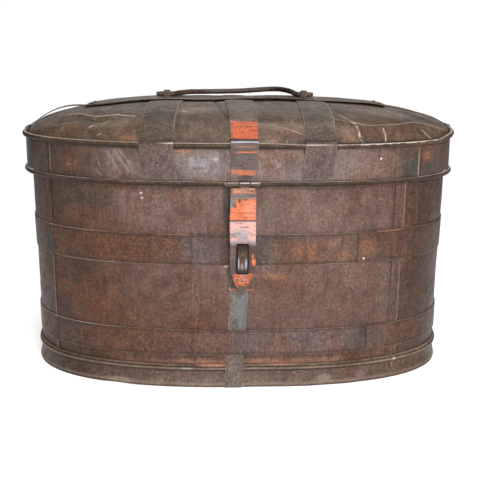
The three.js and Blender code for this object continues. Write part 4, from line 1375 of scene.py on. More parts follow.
def makeLidStrap(name, material, slot):
    strap, form = lidStraps[name], strapForm
    hinged = name != "centre"
    left, right = strap["back"] if hinged else strap["front"]
    cuts = [] if hinged else [(x - left) / (right - left) for x in form["cut"]]
    columns = sorted(cuts + (form["hingedColumns"] if hinged else form["columns"]))
    stations = strapStations(hinged)
    title = f"lid_strap_{name}_strip"
    sheet, share, step, table = layStrip(title, columns, stations, lambda *row: strapRow(*row, strap))
    light, width = table[3:]
    middle = np.array([table[:3, step == k].mean(1) for k in range(len(stations))])
    length = wayAlong(middle)
    setUv(sheet, share * width, length[step])
    ends = np.minimum(length[step], length[-1] - length[step])
    markEdges(sheet, np.minimum(np.minimum(share, 1 - share) * width, ends + (0 if hinged else 3)))
    markLightAndShade(sheet, light)
    if hinged:
        pin, third = hingeForm, (right - left) / 3
        start, end, low = left + third, right - third, form["foot"] + 4
        deleteFaces(sheet, lambda c: c.y > 0 and c.z < low and start < c.x < end)
        ways = [(left, start - pin["gap"]), (end + pin["gap"], right)]
    else:
        pin, (start, end) = haspForm, form["cut"]
        deleteFaces(sheet, lambda c: c.y < 0 and c.z < form["foot"] and start < c.x < end)
        ways = [(left - 4.5, pin["knuckle"][0] - pin["gap"]), (pin["knuckle"][1] + pin["gap"], right)]
    giveThickness(sheet, form["thickness"], form["bevel"])
    tubes = [rolledKnuckle(*way, pin) for way in ways]
    finishPiece(joinPieces([sheet, *tubes], title), f"lid_strap_{name}", "lid", slot, material, angle=50)


haspForm = {
    "y": -169.7,
    "z": 253.6,
    "radius": 3.0,
    "tube": 1.0,
    "knuckle": (-5.4, 6.4),
    "gap": 0.4,
    "thickness": 1.5,
    "bevel": 0.35,
    "slot": (-8.3, 6.1, 146.3, 183.4),
    "slotRow": (-16.0, 14.5),
    "shares": [0, 0.08, 0.17, 0.33, 0.42, 0.5, 0.58, 0.66, 0.82, 0.92, 1],
    "bulges": [(0.5, 211, 7), (-0.35, 194, 9)],
    "waves": [(0.22, (11, 13, math.inf), (0, 0, 2.0))],
    "rows": [
        (120.7, 5.2, -4.9, 0.1),
        (122.3, 5.2, -6.0, 1.3),
        (125.9, 5.25, -7.0, 2.6),
        (132.8, 5.3, -9.4, 5.6),
        (139.5, 5.5, -12.0, 9.6),
        (146.3, 5.6, -14.8, 13.2),
        (149.0, 5.8, -15.8, 14.4),
        (152.0, 5.9, -16.0, 14.5),
        (183.4, 7.0, -16.0, 14.5),
        (186.0, 7.1, -16.2, 14.4),
        (210.0, 7.4, -16.4, 14.4),
        (236.5, 7.5, -15.8, 14.2),
        (249.2, 7.6, -15.9, 14.4),
        (249.8, 7.6, -5.4, 6.4),
        (252.9, 7.5, -5.4, 6.4),
    ],
}


def makeHasp(material):
    form = haspForm
    rows = np.array(form["rows"])
    slotLeft, slotRight, slotLow, slotHigh = form["slot"]
    rowLeft, rowRight = form["slotRow"]
    edges = {edge: (edge - rowLeft) / (rowRight - rowLeft) for edge in (slotLeft, slotRight)}
    shares = sorted([*form["shares"], *edges.values()])
    plate, share, z = gridPiece("hasp_plate", shares, spreadAll(rows[:, 0], 3.0))
    out, left, right = (np.interp(z, rows[:, 0], rows[:, k]) for k in (1, 2, 3))
    x = left + (right - left) * share
    inSlot = (z >= slotLow - 0.01) & (z <= slotHigh + 0.01)
    for edge, edgeShare in edges.items():
        x = np.where(inSlot & (np.abs(share - edgeShare) < 1e-6), edge, x)
    y = -oval["halfDepth"] - out - form["thickness"]
    bulge = sum(height * np.exp(-(((z - middle) / size) ** 2)) for height, middle, size in form["bulges"])
    wave = addWaves(np.stack([x, z, z], 1), form["waves"])
    setPoints(plate, x, y + bulge + wave, z)
    setUv(plate, x, z)
    inside = np.minimum(share, 1 - share) * (right - left)
    besideSlot = np.maximum(np.maximum(slotLeft - x, x - slotRight), 0)
    overSlot = np.maximum(np.maximum(slotLow - z, z - slotHigh), 0)
    markEdges(plate, np.minimum(np.minimum(inside, z - rows[0, 0]), np.hypot(besideSlot, overSlot)))
    deleteFaces(plate, lambda c: slotLeft < c.x < slotRight and slotLow < c.z < slotHigh)
    giveThickness(plate, form["thickness"], form["bevel"])
    tube = rolledKnuckle(*form["knuckle"], form)
    finishPiece(joinPieces([plate, tube], "hasp_plate"), "hasp", "hasp", "chipped_paint", material)


ridgeForm = {
    "left": -200.0,
    "right": 190.0,
    "halfDepth": 27.0,
    "lift": 3.0,
    "thickness": 1.2,
    "bevel": 0.35,
    "corner": 4,
    "nip": 2.5,
    "ripple": 0.5,
    "strapWidth": 14.0,
    "strapBevel": 0.3,
    "strapLift": 1.5,
    "strapHidden": 15,
    "strapBend": 0.965,
    "bows": {"left": 4.0, "right": 0.0},
}


def onRidge(x, y, lift):
    # points of the smooth dome under the ridge's fittings
    return liftedDome(x, y / domeHalfDepth(x, lift), lift, creased=False)[:3]


def makeRidgePlate(material):
    form = ridgeForm
    columns = spread(form["left"], form["right"], 4.0)
    plate, x, row = gridPiece("ridge_plate_strip", columns, np.linspace(-1, 1, 17))
    ends = np.minimum(x - form["left"], form["right"] - x)
    depth = form["halfDepth"] - np.clip(1 - ends / form["corner"], 0, 1) * form["nip"]
    y = row * depth
    px, py, pz = onRidge(x, y, form["lift"])
    ripple = form["ripple"] * np.sin(x / 23) * np.exp(-((row + 1) ** 2) / 0.3)
    setPoints(plate, px, py, pz + ripple)
    setUv(plate, x - form["left"], y)
    markEdges(plate, np.minimum(ends, depth - np.abs(y)))
    finishPiece(plate, "ridge_plate", "lid", "lid_sheet", material, form["thickness"], form["bevel"])


def makeRidgeStrap(name, side, material):
    # from under the ridge plate's end over the rim roll
    form = ridgeForm
    start, bow, width = abs(form[name]), form["bows"][name], form["strapWidth"]
    first, last = start - form["strapHidden"], form["strapBend"] * domeForm["halfWidth"]
    stations = [("dome", x) for x in spread(first, last, 3.0)]
    stations += [("roll", turn) for turn in np.linspace(100, -15, 10)]

    def ridgeRow(kind, value, across):
        y = across * width
        if kind == "dome":
            px, py, pz = onRidge(np.full(len(y), side * value), y, form["strapLift"])
            return px, py, pz + bow * math.sin(math.pi * np.clip((value - start) / (last - start), 0, 1))
        out, z = rollPoint(value)
        return side * (oval["halfWidth"] + out), y, z

    title = f"ridge_strap_{name}_strip"
    strip, across, step, table = layStrip(title, np.linspace(-0.5, 0.5, 7), stations, ridgeRow)
    setUv(strip, (across + 0.5) * width, step * 3.0)
    markEdges(strip, (0.5 - np.abs(across)) * width)
    if side > 0:
        with editing(strip):
            bpy.ops.mesh.flip_normals()
    sheet = (form["thickness"], form["strapBevel"])
    finishPiece(strip, f"ridge_strap_{name}", "lid", "strap_steel", material, *sheet, angle=50)


handleForm = {
    "radius": 3.5,
    "pivot": 344.22,
    "line": [
        (-109, 0, 0),
        (-100, 0, 0),
        (-90.4, 0, 0),
        (-88.4, 0, 0),
        (-85, 3, 0),
        (-81, 9, 0.3),
        (-67, 21, 1.2),
        (-48, 33, 0.8),
        (0, 41, 1.4),
        (44, 41.5, 4.2),
        (55, 36.5, 4.4),
        (65, 22, 3.6),
        (70.5, 12, 2.2),
        (74.5, 4, 0.5),
        (78, 0, 0),
        (80, 0, 0),
        (83, 0, 0),
        (97, 0, 0),
    ],
    "sides": 18,
    "endLength": 4,
    "endTaper": 0.16,
    "flatLength": 12,
    "flatness": 0.12,
    "waves": [(0.16, (9, math.inf, math.inf), (0, 0.3, 1.7))],
    "eyes": {"left": -95.0, "right": 84.5},
    "eyeWidth": 8.0,
    "eyeFoot": 11.0,
    "eyeBore": 4.1,
    "eyeBend": 1.2,
    "eyeThickness": 1.2,
    "eyeBevel": 0.3,
}


def smoothLine(corners, each=7):
    # a centripetal curve through the corners
    corners = np.array(corners, float)
    ends = np.vstack([2 * corners[0] - corners[1], corners, 2 * corners[-1] - corners[-2]])
    out = []
    for k in range(len(corners) - 1):
        p0, p1, p2, p3 = ends[k : k + 4]
        t1 = np.linalg.norm(p1 - p0) ** 0.5
        t2 = t1 + np.linalg.norm(p2 - p1) ** 0.5
        t3 = t2 + np.linalg.norm(p3 - p2) ** 0.5
        for t in np.linspace(t1, t2, each, endpoint=False):
            a1 = (t1 - t) / t1 * p0 + t / t1 * p1
            a2 = (t2 - t) / (t2 - t1) * p1 + (t - t1) / (t2 - t1) * p2
            a3 = (t3 - t) / (t3 - t2) * p2 + (t - t2) / (t3 - t2) * p3
            b1 = (t2 - t) / t2 * a1 + t / t2 * a2
            b2 = (t3 - t) / (t3 - t1) * a2 + (t - t1) / (t3 - t1) * a3
            out.append((t2 - t) / (t2 - t1) * b1 + (t - t1) / (t2 - t1) * b2)
    out.append(corners[-1])
    return np.array(out)


def makeHandle(material):
    form = handleForm
    line = smoothLine(form["line"])
    line[:, 2] += form["pivot"]
    length = wayAlong(line)
    along = np.gradient(line, axis=0)
    along /= np.linalg.norm(along, axis=1)[:, None]
    turns = np.linspace(0, 2 * math.pi, form["sides"] + 1)
    rod, turn, step = gridPiece("handle_rod", turns, np.arange(len(line)))
    step = step.astype(int)
    level = np.cross(along, (0, 0, 1.0))
    level /= np.linalg.norm(level, axis=1)[:, None]
    upper = np.cross(level, along)
    ends = np.minimum(length, length[-1] - length)
    taper = 1 - form["endTaper"] * np.clip(1 - ends / form["endLength"], 0, 1)
    flat = 1 - form["flatness"] * np.clip(1 - ends / form["flatLength"], 0, 1)
    wobble = addWaves(np.stack([length] * 3, 1), form["waves"])
    radius = (form["radius"] + wobble - 0.1) * taper
    ring = np.cos(turn)[:, None] * level[step] - np.sin(turn)[:, None] * upper[step] * flat[step][:, None]
    setPoints(rod, *(line[step] + ring * radius[step][:, None]).T)
    setUv(rod, turn * form["radius"], length[step])
    markEdges(rod)
    mergePoints(rod)
    capEnds(rod)
    finishPiece(rod, "handle", "handle", "dark_steel", material, angle=50)


def makeHandleEye(name, middle, material):
    # a strip from foot to foot over the rod, as a path of y and z
    form = handleForm
    low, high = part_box(f"handle_eye_{name}")
    thickness, bevel, half = form["eyeThickness"], form["eyeBevel"], form["eyeWidth"] / 2
    foot = low.z / mm + thickness
    outer = form["eyeBore"] + thickness
    bend = form["eyeBend"]
    path = [(-form["eyeFoot"], foot), (-outer - bend, foot), (-outer, foot + bend)]
    path += roundProfile(0, form["pivot"], outer, 180, 0, 14)
    path += [(outer, foot + bend), (outer + bend, foot), (form["eyeFoot"], foot)]
    path = np.array(path)
    columns = np.linspace(middle - half, middle + half, 5)
    eye, x, step = gridPiece(f"handle_eye_{name}_strap", columns, np.arange(len(path)))
    step = step.astype(int)
    setPoints(eye, x, path[step, 0], path[step, 1])
    setUv(eye, x - middle + half, step * 2.0)
    markEdges(eye, half - np.abs(x - middle))
    finishPiece(eye, f"handle_eye_{name}", "lid", "dark_steel", material, thickness, bevel, angle=50)


rivetForm = {
    "radius": 3.1,
    "height": 1.7,
    "segments": 20,
    "rings": 14,
    "strapZ": 274.7,
    "leanShare": 0.44,
    "hingeZ": {"lower": 206.8, "upper": 231.2},
    "ridgeIn": 9,
    "ridgeY": {"front": -18, "back": 18},
    "ridgeSink": 1.2,
}


def makeRivetHead():
    form = rivetForm
    sphere = {"segments": form["segments"], "ring_count": form["rings"], "radius": form["radius"] * mm}
    bpy.ops.mesh.primitive_uv_sphere_add(**sphere)
    head = bpy.context.object
    with editing(head):
        bpy.ops.mesh.bisect(plane_co=(0, 0, 0), plane_no=(0, 0, 1), use_fill=True, clear_inner=True)
        bpy.ops.mesh.select_all(action="SELECT")
        bpy.ops.transform.resize(value=(1, 1, form["height"] / form["radius"]))
    return head


def placeRivet(head, node, place, facing, body, material):
    activate(head)
    bpy.ops.object.duplicate()
    rivet = bpy.context.object
    rivet.name = rivet.data.name = node + "_head"
    rivet.rotation_mode = "QUATERNION"
    rivet.rotation_quaternion = Vector(facing).to_track_quat("Z", "Y")
    rivet.location = Vector(place) * mm
    bpy.ops.object.transform_apply(location=True, rotation=True, scale=True)
    markEdges(rivet)
    finishPiece(rivet, node, body, "dark_steel", material)


def onSheet(x, z, side, out, dents):
    # a point out from the dented sheet
    base = facePoint(np.array([x]), side, 0)
    return (*facePoint(x, side, out + float(uneven(*base, z, dents)[0])), z)


def makeRivets(material, sideMaterial, ridgeMaterial):
    form = rivetForm
    head = makeRivetHead()
    for name, strap in lidStraps.items():
        finish = material if name == "centre" else sideMaterial
        for way, side in (("front", -1), ("back", 1)):
            x = sum(strap[way]) / 2 + (strap["lean"] * form["leanShare"] if side < 0 else 0)
            out = strapForm["skirtFace"] - 0.1 + (strapForm["backOut"] if side > 0 else 0)
            place = onSheet(x, form["strapZ"], side, out, lidDents)
            placeRivet(head, f"strap_rivet_{name}_{way}", place, (0, side, 0), "lid", finish)
    for name in ("left", "right"):
        for row, z in form["hingeZ"].items():
            place = onSheet(sum(hingeForm[name]) / 2, z, 1, 1.4 + float(wallFace(z)), bodyDents)
            placeRivet(head, f"hinge_rivet_{name}_{row}", place, (0, 1, 0), "case", material)
        x = ridgeForm[name] + (form["ridgeIn"] if name == "left" else -form["ridgeIn"])
        for row, y in form["ridgeY"].items():
            px, py, pz = onRidge(np.array([x]), np.array([y]), ridgeForm["lift"])
            place = (float(px[0]), float(py[0]), float(pz[0]) - form["ridgeSink"])
            placeRivet(head, f"ridge_rivet_{name}_{row}", place, (0, 0, 1), "lid", ridgeMaterial)
    bpy.data.objects.remove(head)


# Looks of the finishes

baseLook = {
    "deep": (0.055, 0.028, 0.016),
    "middle": (0.12, 0.056, 0.034),
    "pale": (0.21, 0.12, 0.088),
    "mottle": 0.32,
    "mottleDepth": 0.42,
    "bloom": (0.18, 0.12, 0.1),
    "bloomAmount": 0.16,
    "streak": 0.14,
    "rustFrom": 0.5,
    "rust": 0.7,
    "rustColour": (0.27, 0.095, 0.042),
    "grain": 0.42,
    "tone": 0.66,
    "specks": 0.45,
    "fleck": (0.22, 0.12, 0.08),
    "gloss": (0.36, 0.56),
    "specular": 0.22,
    "bump": 0.75,
    "metallic": 0.0,
    "edgeWidth": 1.2,
    "edgeRagged": 2.4,
    "edgeAmount": 0.7,
    "edgeLeast": 0.1,
    "edgeMost": 0.6,
    "edgeGrime": 0.25,
    "edgeColour": wornMetalAndHighlight,
    "edgeSpots": (),
    "rustSpots": (),
    "streakScale": 260,
    "streakStretch": (1, 1, 0.12),
    "scuff": 0,
    "creaseAmount": 0,
    "creaseColour": wornMetalAndHighlight,
}
pinkGrey = (0.235, 0.172, 0.16)
dustWhite = (0.7, 0.67, 0.6)


def lookWith(**changes):
    return {**baseLook, **changes}


def spot(at, half, amount, colour=None, **extra):
    # an oval patch at a place, with its half sizes
    return {"at": at, "half": half, "amount": amount, "colour": colour, **extra}


def patch(at, half, amount, colour, ragged, **extra):
    # an oval patch with a fine ragged edge
    return spot(at, half, amount, colour, ragged=ragged, fine=1, **extra)


def strip(at, half, amount, colour, ragged):
    # the same with square corners
    return patch(at, half, amount, colour, ragged, square=1)


def scratch(line, width, amount, colour=wornMetalAndHighlight):
    return {"line": line, "width": width, "amount": amount, "colour": colour}


wallTones = [
    # painted shade: darker towards the left end, where less light falls
    spot((-235, -110, 165), (95, 100, 220), 0.7, (0.075, 0.035, 0.018), soft=0.7),
    # pale bloom with a painted sheen over the middle of the front, high and low
    spot((20, -165, 215), (165, 50, 70), 0.7, (0.25, 0.165, 0.14), soft=0.95),
    spot((60, -162, 110), (165, 50, 70), 0.65, (0.2, 0.115, 0.092), soft=0.95),
    spot((-188, -133, 235), (40, 30, 16), 0.6, (0.085, 0.06, 0.036)),
    spot((-116, -150, 220), (36, 22, 28), 0.5, pinkGrey),
    spot((-178, -136, 130), (20, 18, 17), 0.5, (0.05, 0.037, 0.023)),
    spot((-184, -133, 93), (34, 20, 22), 0.5, (0.16, 0.062, 0.03)),
    # the right end: its own darker, redder colour together with painted shade
    spot((245, -85, 170), (56, 76, 190), 0.95, (0.055, 0.024, 0.012), soft=0.35),
    spot((176, -138, 115), (9, 12, 36), 0.45, (0.2, 0.145, 0.12)),
    # painted shade on the left end
    spot((-262, -50, 170), (26, 70, 170), 0.7, (0.06, 0.036, 0.021), soft=0.6),
    # painted shadow of the hasp on the wall at its left
    spot((-19.5, -163, 222), (4.5, 6, 34), 0.75, (0.045, 0.03, 0.034), soft=0.5, ragged=0.6),
    spot((10, -162, 31), (150, 30, 5), 0.7, (0.42, 0.19, 0.12), soft=0.6),
]
wallRust = [
    spot((-174, -139, 203), (60, 40, 20), 1.0),
    spot((-184, -133, 95), (46, 30, 40), 0.8),
    spot((-60, -160, 90), (60, 20, 30), 0.5),
    spot((30, -163, 135), (30, 20, 8), 0.9),
    spot((200, -125, 215), (14, 20, 26), 0.8),
]
wallPatches = [
    # painted highlight, partly wear, along the right seam's raised edge
    strip((197.0, -128, 240), (0.8, 20, 46), 0.4, (0.36, 0.29, 0.22), 3.2),
    strip((195.0, -128, 90), (0.6, 20, 60), 0.4, (0.32, 0.24, 0.18), 2.6),
    patch((-119.8, -154.9, 240.4), (1.8, 3, 1.0), 0.7, dustWhite, 2.4),
    patch((-118.7, -155, 234.5), (1.4, 3, 1.3), 0.7, dustWhite, 2.4),
    spot((-128, -153, 238), (6, 4, 3), 0.8, pinkGrey, ragged=1.5, broken=1),
    # a small painted highlight left of the hasp, by the staple plate's corner
    spot((-20, -162, 154), (3.4, 4, 2.6), 0.8, (0.42, 0.27, 0.24), fine=1),
    spot((165, -140, 232), (3, 5, 2), 0.6, (0.3, 0.13, 0.05), ragged=2.0, broken=1),
    spot((42, -161, 140), (17, 5, 4), 0.5, (0.36, 0.16, 0.06), ragged=3.0, broken=1),
]
tanLine = (0.34, 0.24, 0.17)
wallScratches = [
    scratch([(-148.5, -146.8, 138.7), (-129.1, -151.5, 132.5)], 0.7, 0.75),
    scratch([(214, -118.3, 240), (215.3, -116.6, 196)], 0.5, 0.25, tanLine),
    scratch([(-30, -160, 232), (-12, -161, 226)], 0.5, 0.4),
    scratch([(28, -162, 148), (52, -161, 121)], 0.6, 0.4),
    scratch([(-96, -155, 205), (-90, -156, 217)], 0.5, 0.4),
]
wallLook = lookWith(edgeWidth=0, rustSpots=wallRust, mottleDepth=0.3, grain=0.34, specks=0.35)
rustedSheet = wornFinish("rustedSheet", wallLook, wallPatches, wallScratches, wallTones)
seamPatches = [
    # painted highlight, partly wear, along the right seam's raised edge
    strip((194.2, -128, 90), (0.8, 20, 66), 0.5, (0.32, 0.24, 0.18), 2.6),
    strip((183.2, -134, 150), (0.8, 20, 140), 0.3, darkGrimeAndShade, 2.6),
    strip((-238.6, -98, 240), (0.8, 30, 48), 0.4, tanLine, 2.6),
    strip((-233.0, -103, 95), (0.7, 30, 64), 0.35, tanLine, 2.6),
]
seamLook = lookWith(
    edgeWidth=0.8,
    edgeAmount=0.4,
    edgeGrime=0,
    edgeRagged=2.2,
    edgeLeast=0.15,
    edgeColour=tanLine,
)
seamSheet = wornFinish("seamSheet", seamLook, seamPatches, (), wallTones)

# the lid's skirt and the base
skirtTones = [
    spot((-205, -125, 275), (45, 40, 25), 0.9, (0.075, 0.042, 0.027)),
    # pale tone with a painted sheen over the middle of the front
    spot((10, -168, 275), (180, 40, 34), 0.8, (0.26, 0.185, 0.165), soft=0.6),
    # painted shade on the left end
    spot((-266, -60, 275), (60, 110, 40), 0.9, (0.07, 0.042, 0.027), soft=0.4),
    spot((-150, -150, 274), (22, 20, 22), 0.6, (0.2, 0.155, 0.135), soft=0.5),
    # painted sheen, blue-grey, left of the centre strap
    spot((-50, -168, 276), (22, 10, 13), 0.6, (0.32, 0.29, 0.31), soft=0.8),
    spot((34, -168, 280), (18, 10, 12), 0.55, (0.33, 0.2, 0.15)),
    # painted sheen, a blue-grey spot right of the centre strap
    spot((38.2, -168, 278), (7, 6, 5), 0.6, (0.34, 0.33, 0.36)),
    spot((140, -155, 274), (50, 30, 22), 0.6, (0.26, 0.18, 0.15)),
    spot((178, -140, 268), (16, 20, 14), 0.5, (0.14, 0.09, 0.06)),
    spot((200, -130, 273), (14, 20, 18), 0.85, (0.045, 0.055, 0.046), soft=0.4, ragged=1.6),
    # painted shade on the right end
    spot((250, -90, 275), (34, 60, 30), 0.92, (0.08, 0.047, 0.031), soft=0.5),
]
skirtRust = [
    spot((-206, -130, 271), (12, 14, 10), 1.2),
    spot((-80, -165, 288), (14, 10, 8), 0.8),
    spot((35, -168, 283), (24, 10, 10), 0.9),
    spot((190, -135, 285), (40, 30, 8), 1.0),
    spot((223, -119, 281), (10, 14, 8), 1.0),
]
skirtPatches = [
    strip((-231, -112, 275), (0.8, 30, 14), 0.35, (0.36, 0.28, 0.21), 3.2),
    strip((-229, -112, 275), (0.9, 30, 20), 0.6, darkGrimeAndShade, 1.4),
    strip((212.3, -125, 272), (0.8, 30, 16), 0.5, (0.42, 0.37, 0.31), 3.2),
    spot((-206.4, -130.3, 271), (4, 6, 4), 0.6, (0.34, 0.13, 0.05), ragged=2.4, broken=1),
    spot((-71, -166, 291), (10, 5, 2), 0.6, (0.5, 0.2, 0.1), ragged=2.0, broken=1),
    # painted sheen: a pale spot and a paler blob left of the centre strap
    patch((-32.8, -168, 282.2), (3, 4, 2.4), 0.6, (0.45, 0.41, 0.42), 3.0, soft=0.8),
    spot((-52, -168, 278), (12, 5, 6), 0.25, (0.42, 0.39, 0.42), ragged=2.6, broken=0.5),
    patch((161.5, -150, 281), (1.3, 3, 1.2), 0.9, dustWhite, 1.0),
    spot((223.5, -118.8, 281), (6, 8, 5), 0.6, (0.36, 0.14, 0.055), ragged=2.4, broken=1),
    patch((226, -116.7, 264.9), (6, 8, 7), 0.7, greenDark, 2.0),
]
paleStreak = (0.42, 0.36, 0.31)
redScratch = (0.12, 0.03, 0.015)
skirtScratches = [
    scratch([(-171.3, -146.7, 283.6), (-169, -147.5, 272)], 0.9, 0.8, paleStreak),
    scratch([(-172.7, -146.1, 265), (-166.4, -148.4, 260.4)], 0.8, 0.7, paleStreak),
    scratch([(-150, -153.4, 289.6), (-133.4, -157.6, 267)], 2.2, 0.2, paleStreak),
    scratch([(-144, -155, 291), (-131, -158, 274)], 1.8, 0.16, paleStreak),
    scratch([(-158, -151, 288), (-147, -154, 270)], 2.4, 0.18, paleStreak),
    scratch([(39.6, -168, 271.6), (46.3, -167.8, 266.6)], 0.6, 0.7, paleStreak),
    scratch([(161.5, -150, 270.9), (168, -148, 271), (173.3, -145.9, 272.8)], 0.8, 0.8, redScratch),
]
skirtLook = lookWith(
    edgeWidth=0,
    rustSpots=skirtRust,
    bloomAmount=0.3,
    gloss=(0.3, 0.5),
    specular=0.3,
    grain=0.3,
    specks=0.3,
    mottleDepth=0.3,
)
skirtSheet = wornFinish("skirtSheet", skirtLook, skirtPatches, skirtScratches, skirtTones)
baseTones = [
    spot((20, -160, 12), (190, 40, 22), 0.8, (0.18, 0.113, 0.09), soft=0.6),
    spot((-30, -160, 4), (150, 40, 7), 0.6, (0.23, 0.17, 0.13), soft=0.6),
    # painted shade towards both ends
    spot((-230, -100, 12), (60, 80, 22), 0.8, (0.09, 0.055, 0.037), soft=0.6),
    spot((230, -100, 12), (50, 80, 22), 0.6, (0.14, 0.085, 0.055), soft=0.6),
]
basePatches = [
    patch((-153, -148, 4.6), (18, 10, 3.6), 0.5, (0.3, 0.25, 0.2), 2.2),
    patch((101, -157, 9), (9, 8, 5), 0.45, (0.34, 0.27, 0.22), 3.4, broken=0.6),
    patch((149, -147, 10), (7, 8, 4), 0.4, (0.28, 0.22, 0.18), 3.4, broken=0.6),
    strip((0, 0, 4.4), (400, 400, 1.5), 0.4, (0.26, 0.195, 0.135), 3.2),
    strip((0, 0, 0), (400, 400, 2.0), 0.55, darkGrimeAndShade, 1.2),
]
baseScratches = [
    scratch([(-172, -143, 5), (-160, -147, 8.8), (-147, -151, 8.8), (-134, -154, 4)], 0.8, 0.85, darkGrimeAndShade),
    scratch([(188, -131, 20), (188.1, -131, 0)], 0.9, 0.9, darkGrimeAndShade),
    scratch([(190, -130, 20), (190.3, -130, 2)], 0.6, 0.7, (0.4, 0.2, 0.1)),
]
hemTan = (0.42, 0.33, 0.22)
footLook = lookWith(
    edgeWidth=1.6,
    edgeAmount=0.3,
    edgeLeast=0.1,
    edgeMost=0.9,
    edgeColour=hemTan,
    edgeGrime=0,
)
baseSheet = wornFinish("baseSheet", footLook, basePatches, baseScratches, baseTones)
domeTones = [
    spot((0, -60, 335), (190, 70, 14), 0.5, (0.2, 0.155, 0.12), soft=0.7),
    spot((-20, -150, 312), (90, 26, 13), 0.6, (0.16, 0.105, 0.075), soft=0.6),
    spot((40, -152, 308), (38, 16, 12), 0.6, (0.2, 0.11, 0.075), soft=0.6),
    spot((-170, -120, 312), (50, 40, 14), 0.5, (0.2, 0.125, 0.08), soft=0.6),
    spot((160, -125, 308), (60, 36, 12), 0.7, (0.15, 0.082, 0.055), soft=0.5),
    spot((240, -90, 306), (26, 40, 14), 0.6, (0.11, 0.07, 0.045), soft=0.6),
    spot((-240, -70, 312), (30, 60, 18), 0.6, (0.13, 0.095, 0.065), soft=0.6),
]
domePatches = [
    spot((-150, -125, 318), (26, 12, 8), 0.35, (0.3, 0.235, 0.175), ragged=3.0, soft=0.6),
    spot((118, -148, 311), (14, 9, 7), 0.25, (0.3, 0.2, 0.15), ragged=3.0, soft=0.5),
    spot((50, -148, 317), (28, 10, 6), 0.4, (0.28, 0.22, 0.165), ragged=3.0, soft=0.6),
    spot((-60, -100, 332), (24, 16, 6), 0.4, (0.28, 0.22, 0.165), ragged=3.0, soft=0.6),
    spot((180, -80, 328), (34, 20, 8), 0.4, (0.26, 0.205, 0.155), ragged=3.0, soft=0.6),
    spot((-190, -105, 320), (9, 7, 6), 0.6, (0.07, 0.085, 0.06), ragged=2.0),
    patch((-70, -108, 331), (3, 3, 3), 0.8, (0.5, 0.33, 0.28), 1.6),
    spot((-135, -153, 303), (12, 8, 5), 0.6, (0.34, 0.15, 0.075), ragged=2.4, broken=0.8),
    spot((122, -155, 304), (10, 8, 5), 0.5, (0.32, 0.15, 0.08), ragged=2.4, broken=0.8),
    spot((30, -163, 301), (12, 6, 3.4), 0.5, (0.4, 0.24, 0.18), ragged=2.4, broken=0.8),
]
domeLook = lookWith(
    deep=(0.075, 0.046, 0.028),
    middle=(0.15, 0.097, 0.066),
    creaseAmount=1.0,
    creaseColour=(0.46, 0.37, 0.29),
    edgeWidth=0,
    bloomAmount=0.45,
    bloom=(0.27, 0.2, 0.145),
    streak=0.2,
    streakScale=150,
    streakStretch=(1, 0.3, 0.6),
    grain=0.3,
    specks=0.3,
    mottleDepth=0.34,
)
domeSheet = wornFinish("domeSheet", domeLook, domePatches, (), domeTones)

# the bands
bandTones = [
    spot((-150, -145, 172), (90, 40, 40), 0.6, (0.13, 0.055, 0.032), soft=0.8),
    spot((90, -158, 172), (80, 30, 30), 0.5, (0.2, 0.125, 0.1), soft=0.8),
    spot((-40, -162, 172), (50, 30, 30), 0.7, (0.17, 0.13, 0.132), soft=0.8),
    spot((-150, -145, 57), (90, 40, 30), 0.5, (0.14, 0.062, 0.04), soft=0.8),
    spot((50, -160, 57), (130, 40, 30), 0.7, (0.2, 0.138, 0.128), soft=0.8),
    # painted shadow of the hasp on the band, at both its sides
    spot((-22, -162, 172), (6, 6, 22), 0.7, (0.05, 0.034, 0.036), soft=0.5),
    spot((22, -162, 172), (8, 6, 22), 0.6, (0.06, 0.052, 0.056), soft=0.5),
    # painted shade at both ends
    spot((245, -85, 115), (56, 76, 190), 0.95, (0.062, 0.025, 0.013), soft=0.35),
    spot((-262, -50, 115), (26, 70, 190), 0.6, (0.07, 0.036, 0.02), soft=0.6),
]
bandPatches = [
    spot((-238.5, -95, 170), (8, 12, 17), 0.8, greenDark, ragged=1.8),
    patch((65, -161, 172), (6, 5, 11), 0.34, paleRust, 4.0, broken=1),
    patch((82, -159, 170), (6, 5, 12), 0.34, paleRust, 4.0, broken=1),
    patch((104, -157, 180), (12, 5, 5), 0.2, paleRust, 4.0, broken=1),
    patch((120, -155, 163), (8, 5, 8), 0.3, paleRust, 4.0, broken=1),
    patch((152, -147, 173), (13, 10, 11), 0.32, paleRust, 4.0, broken=1),
    patch((146, -149, 160), (1.4, 3, 1.2), 0.8, dustWhite, 1.2),
    spot((178, -137, 192.5), (19, 12, 1.5), 0.7, rustOrange, ragged=1.2),
    spot((-80, -158, 191.8), (26, 8, 1.1), 0.6, (0.4, 0.16, 0.06), ragged=2.2, broken=1),
    patch((144, -149, 56), (18, 10, 12), 0.35, (0.05, 0.062, 0.055), 3.6, broken=0.7),
    patch((70, -159, 62), (14, 8, 4), 0.5, (0.05, 0.05, 0.07), 2.6, broken=0.8),
]
bandRust = [
    spot((-130, -150, 172), (70, 40, 22), 1.0),
    spot((-130, -153, 57), (90, 40, 20), 0.7),
    spot((100, -155, 172), (70, 30, 20), 0.3),
]
bandScratches = [
    scratch([(138.9, -150, 191), (138.9, -150, 173)], 0.8, 0.9, darkGrimeAndShade),
    scratch([(139.2, -150, 170), (139.4, -150, 155.5)], 0.8, 0.9, dustWhite),
    scratch([(139.2, -150, 155.6), (179, -138, 155.6)], 0.7, 0.7, (0.5, 0.43, 0.34)),
    scratch([(178.8, -138, 72), (178.8, -136, 42)], 0.8, 0.8, (0.42, 0.16, 0.08)),
]
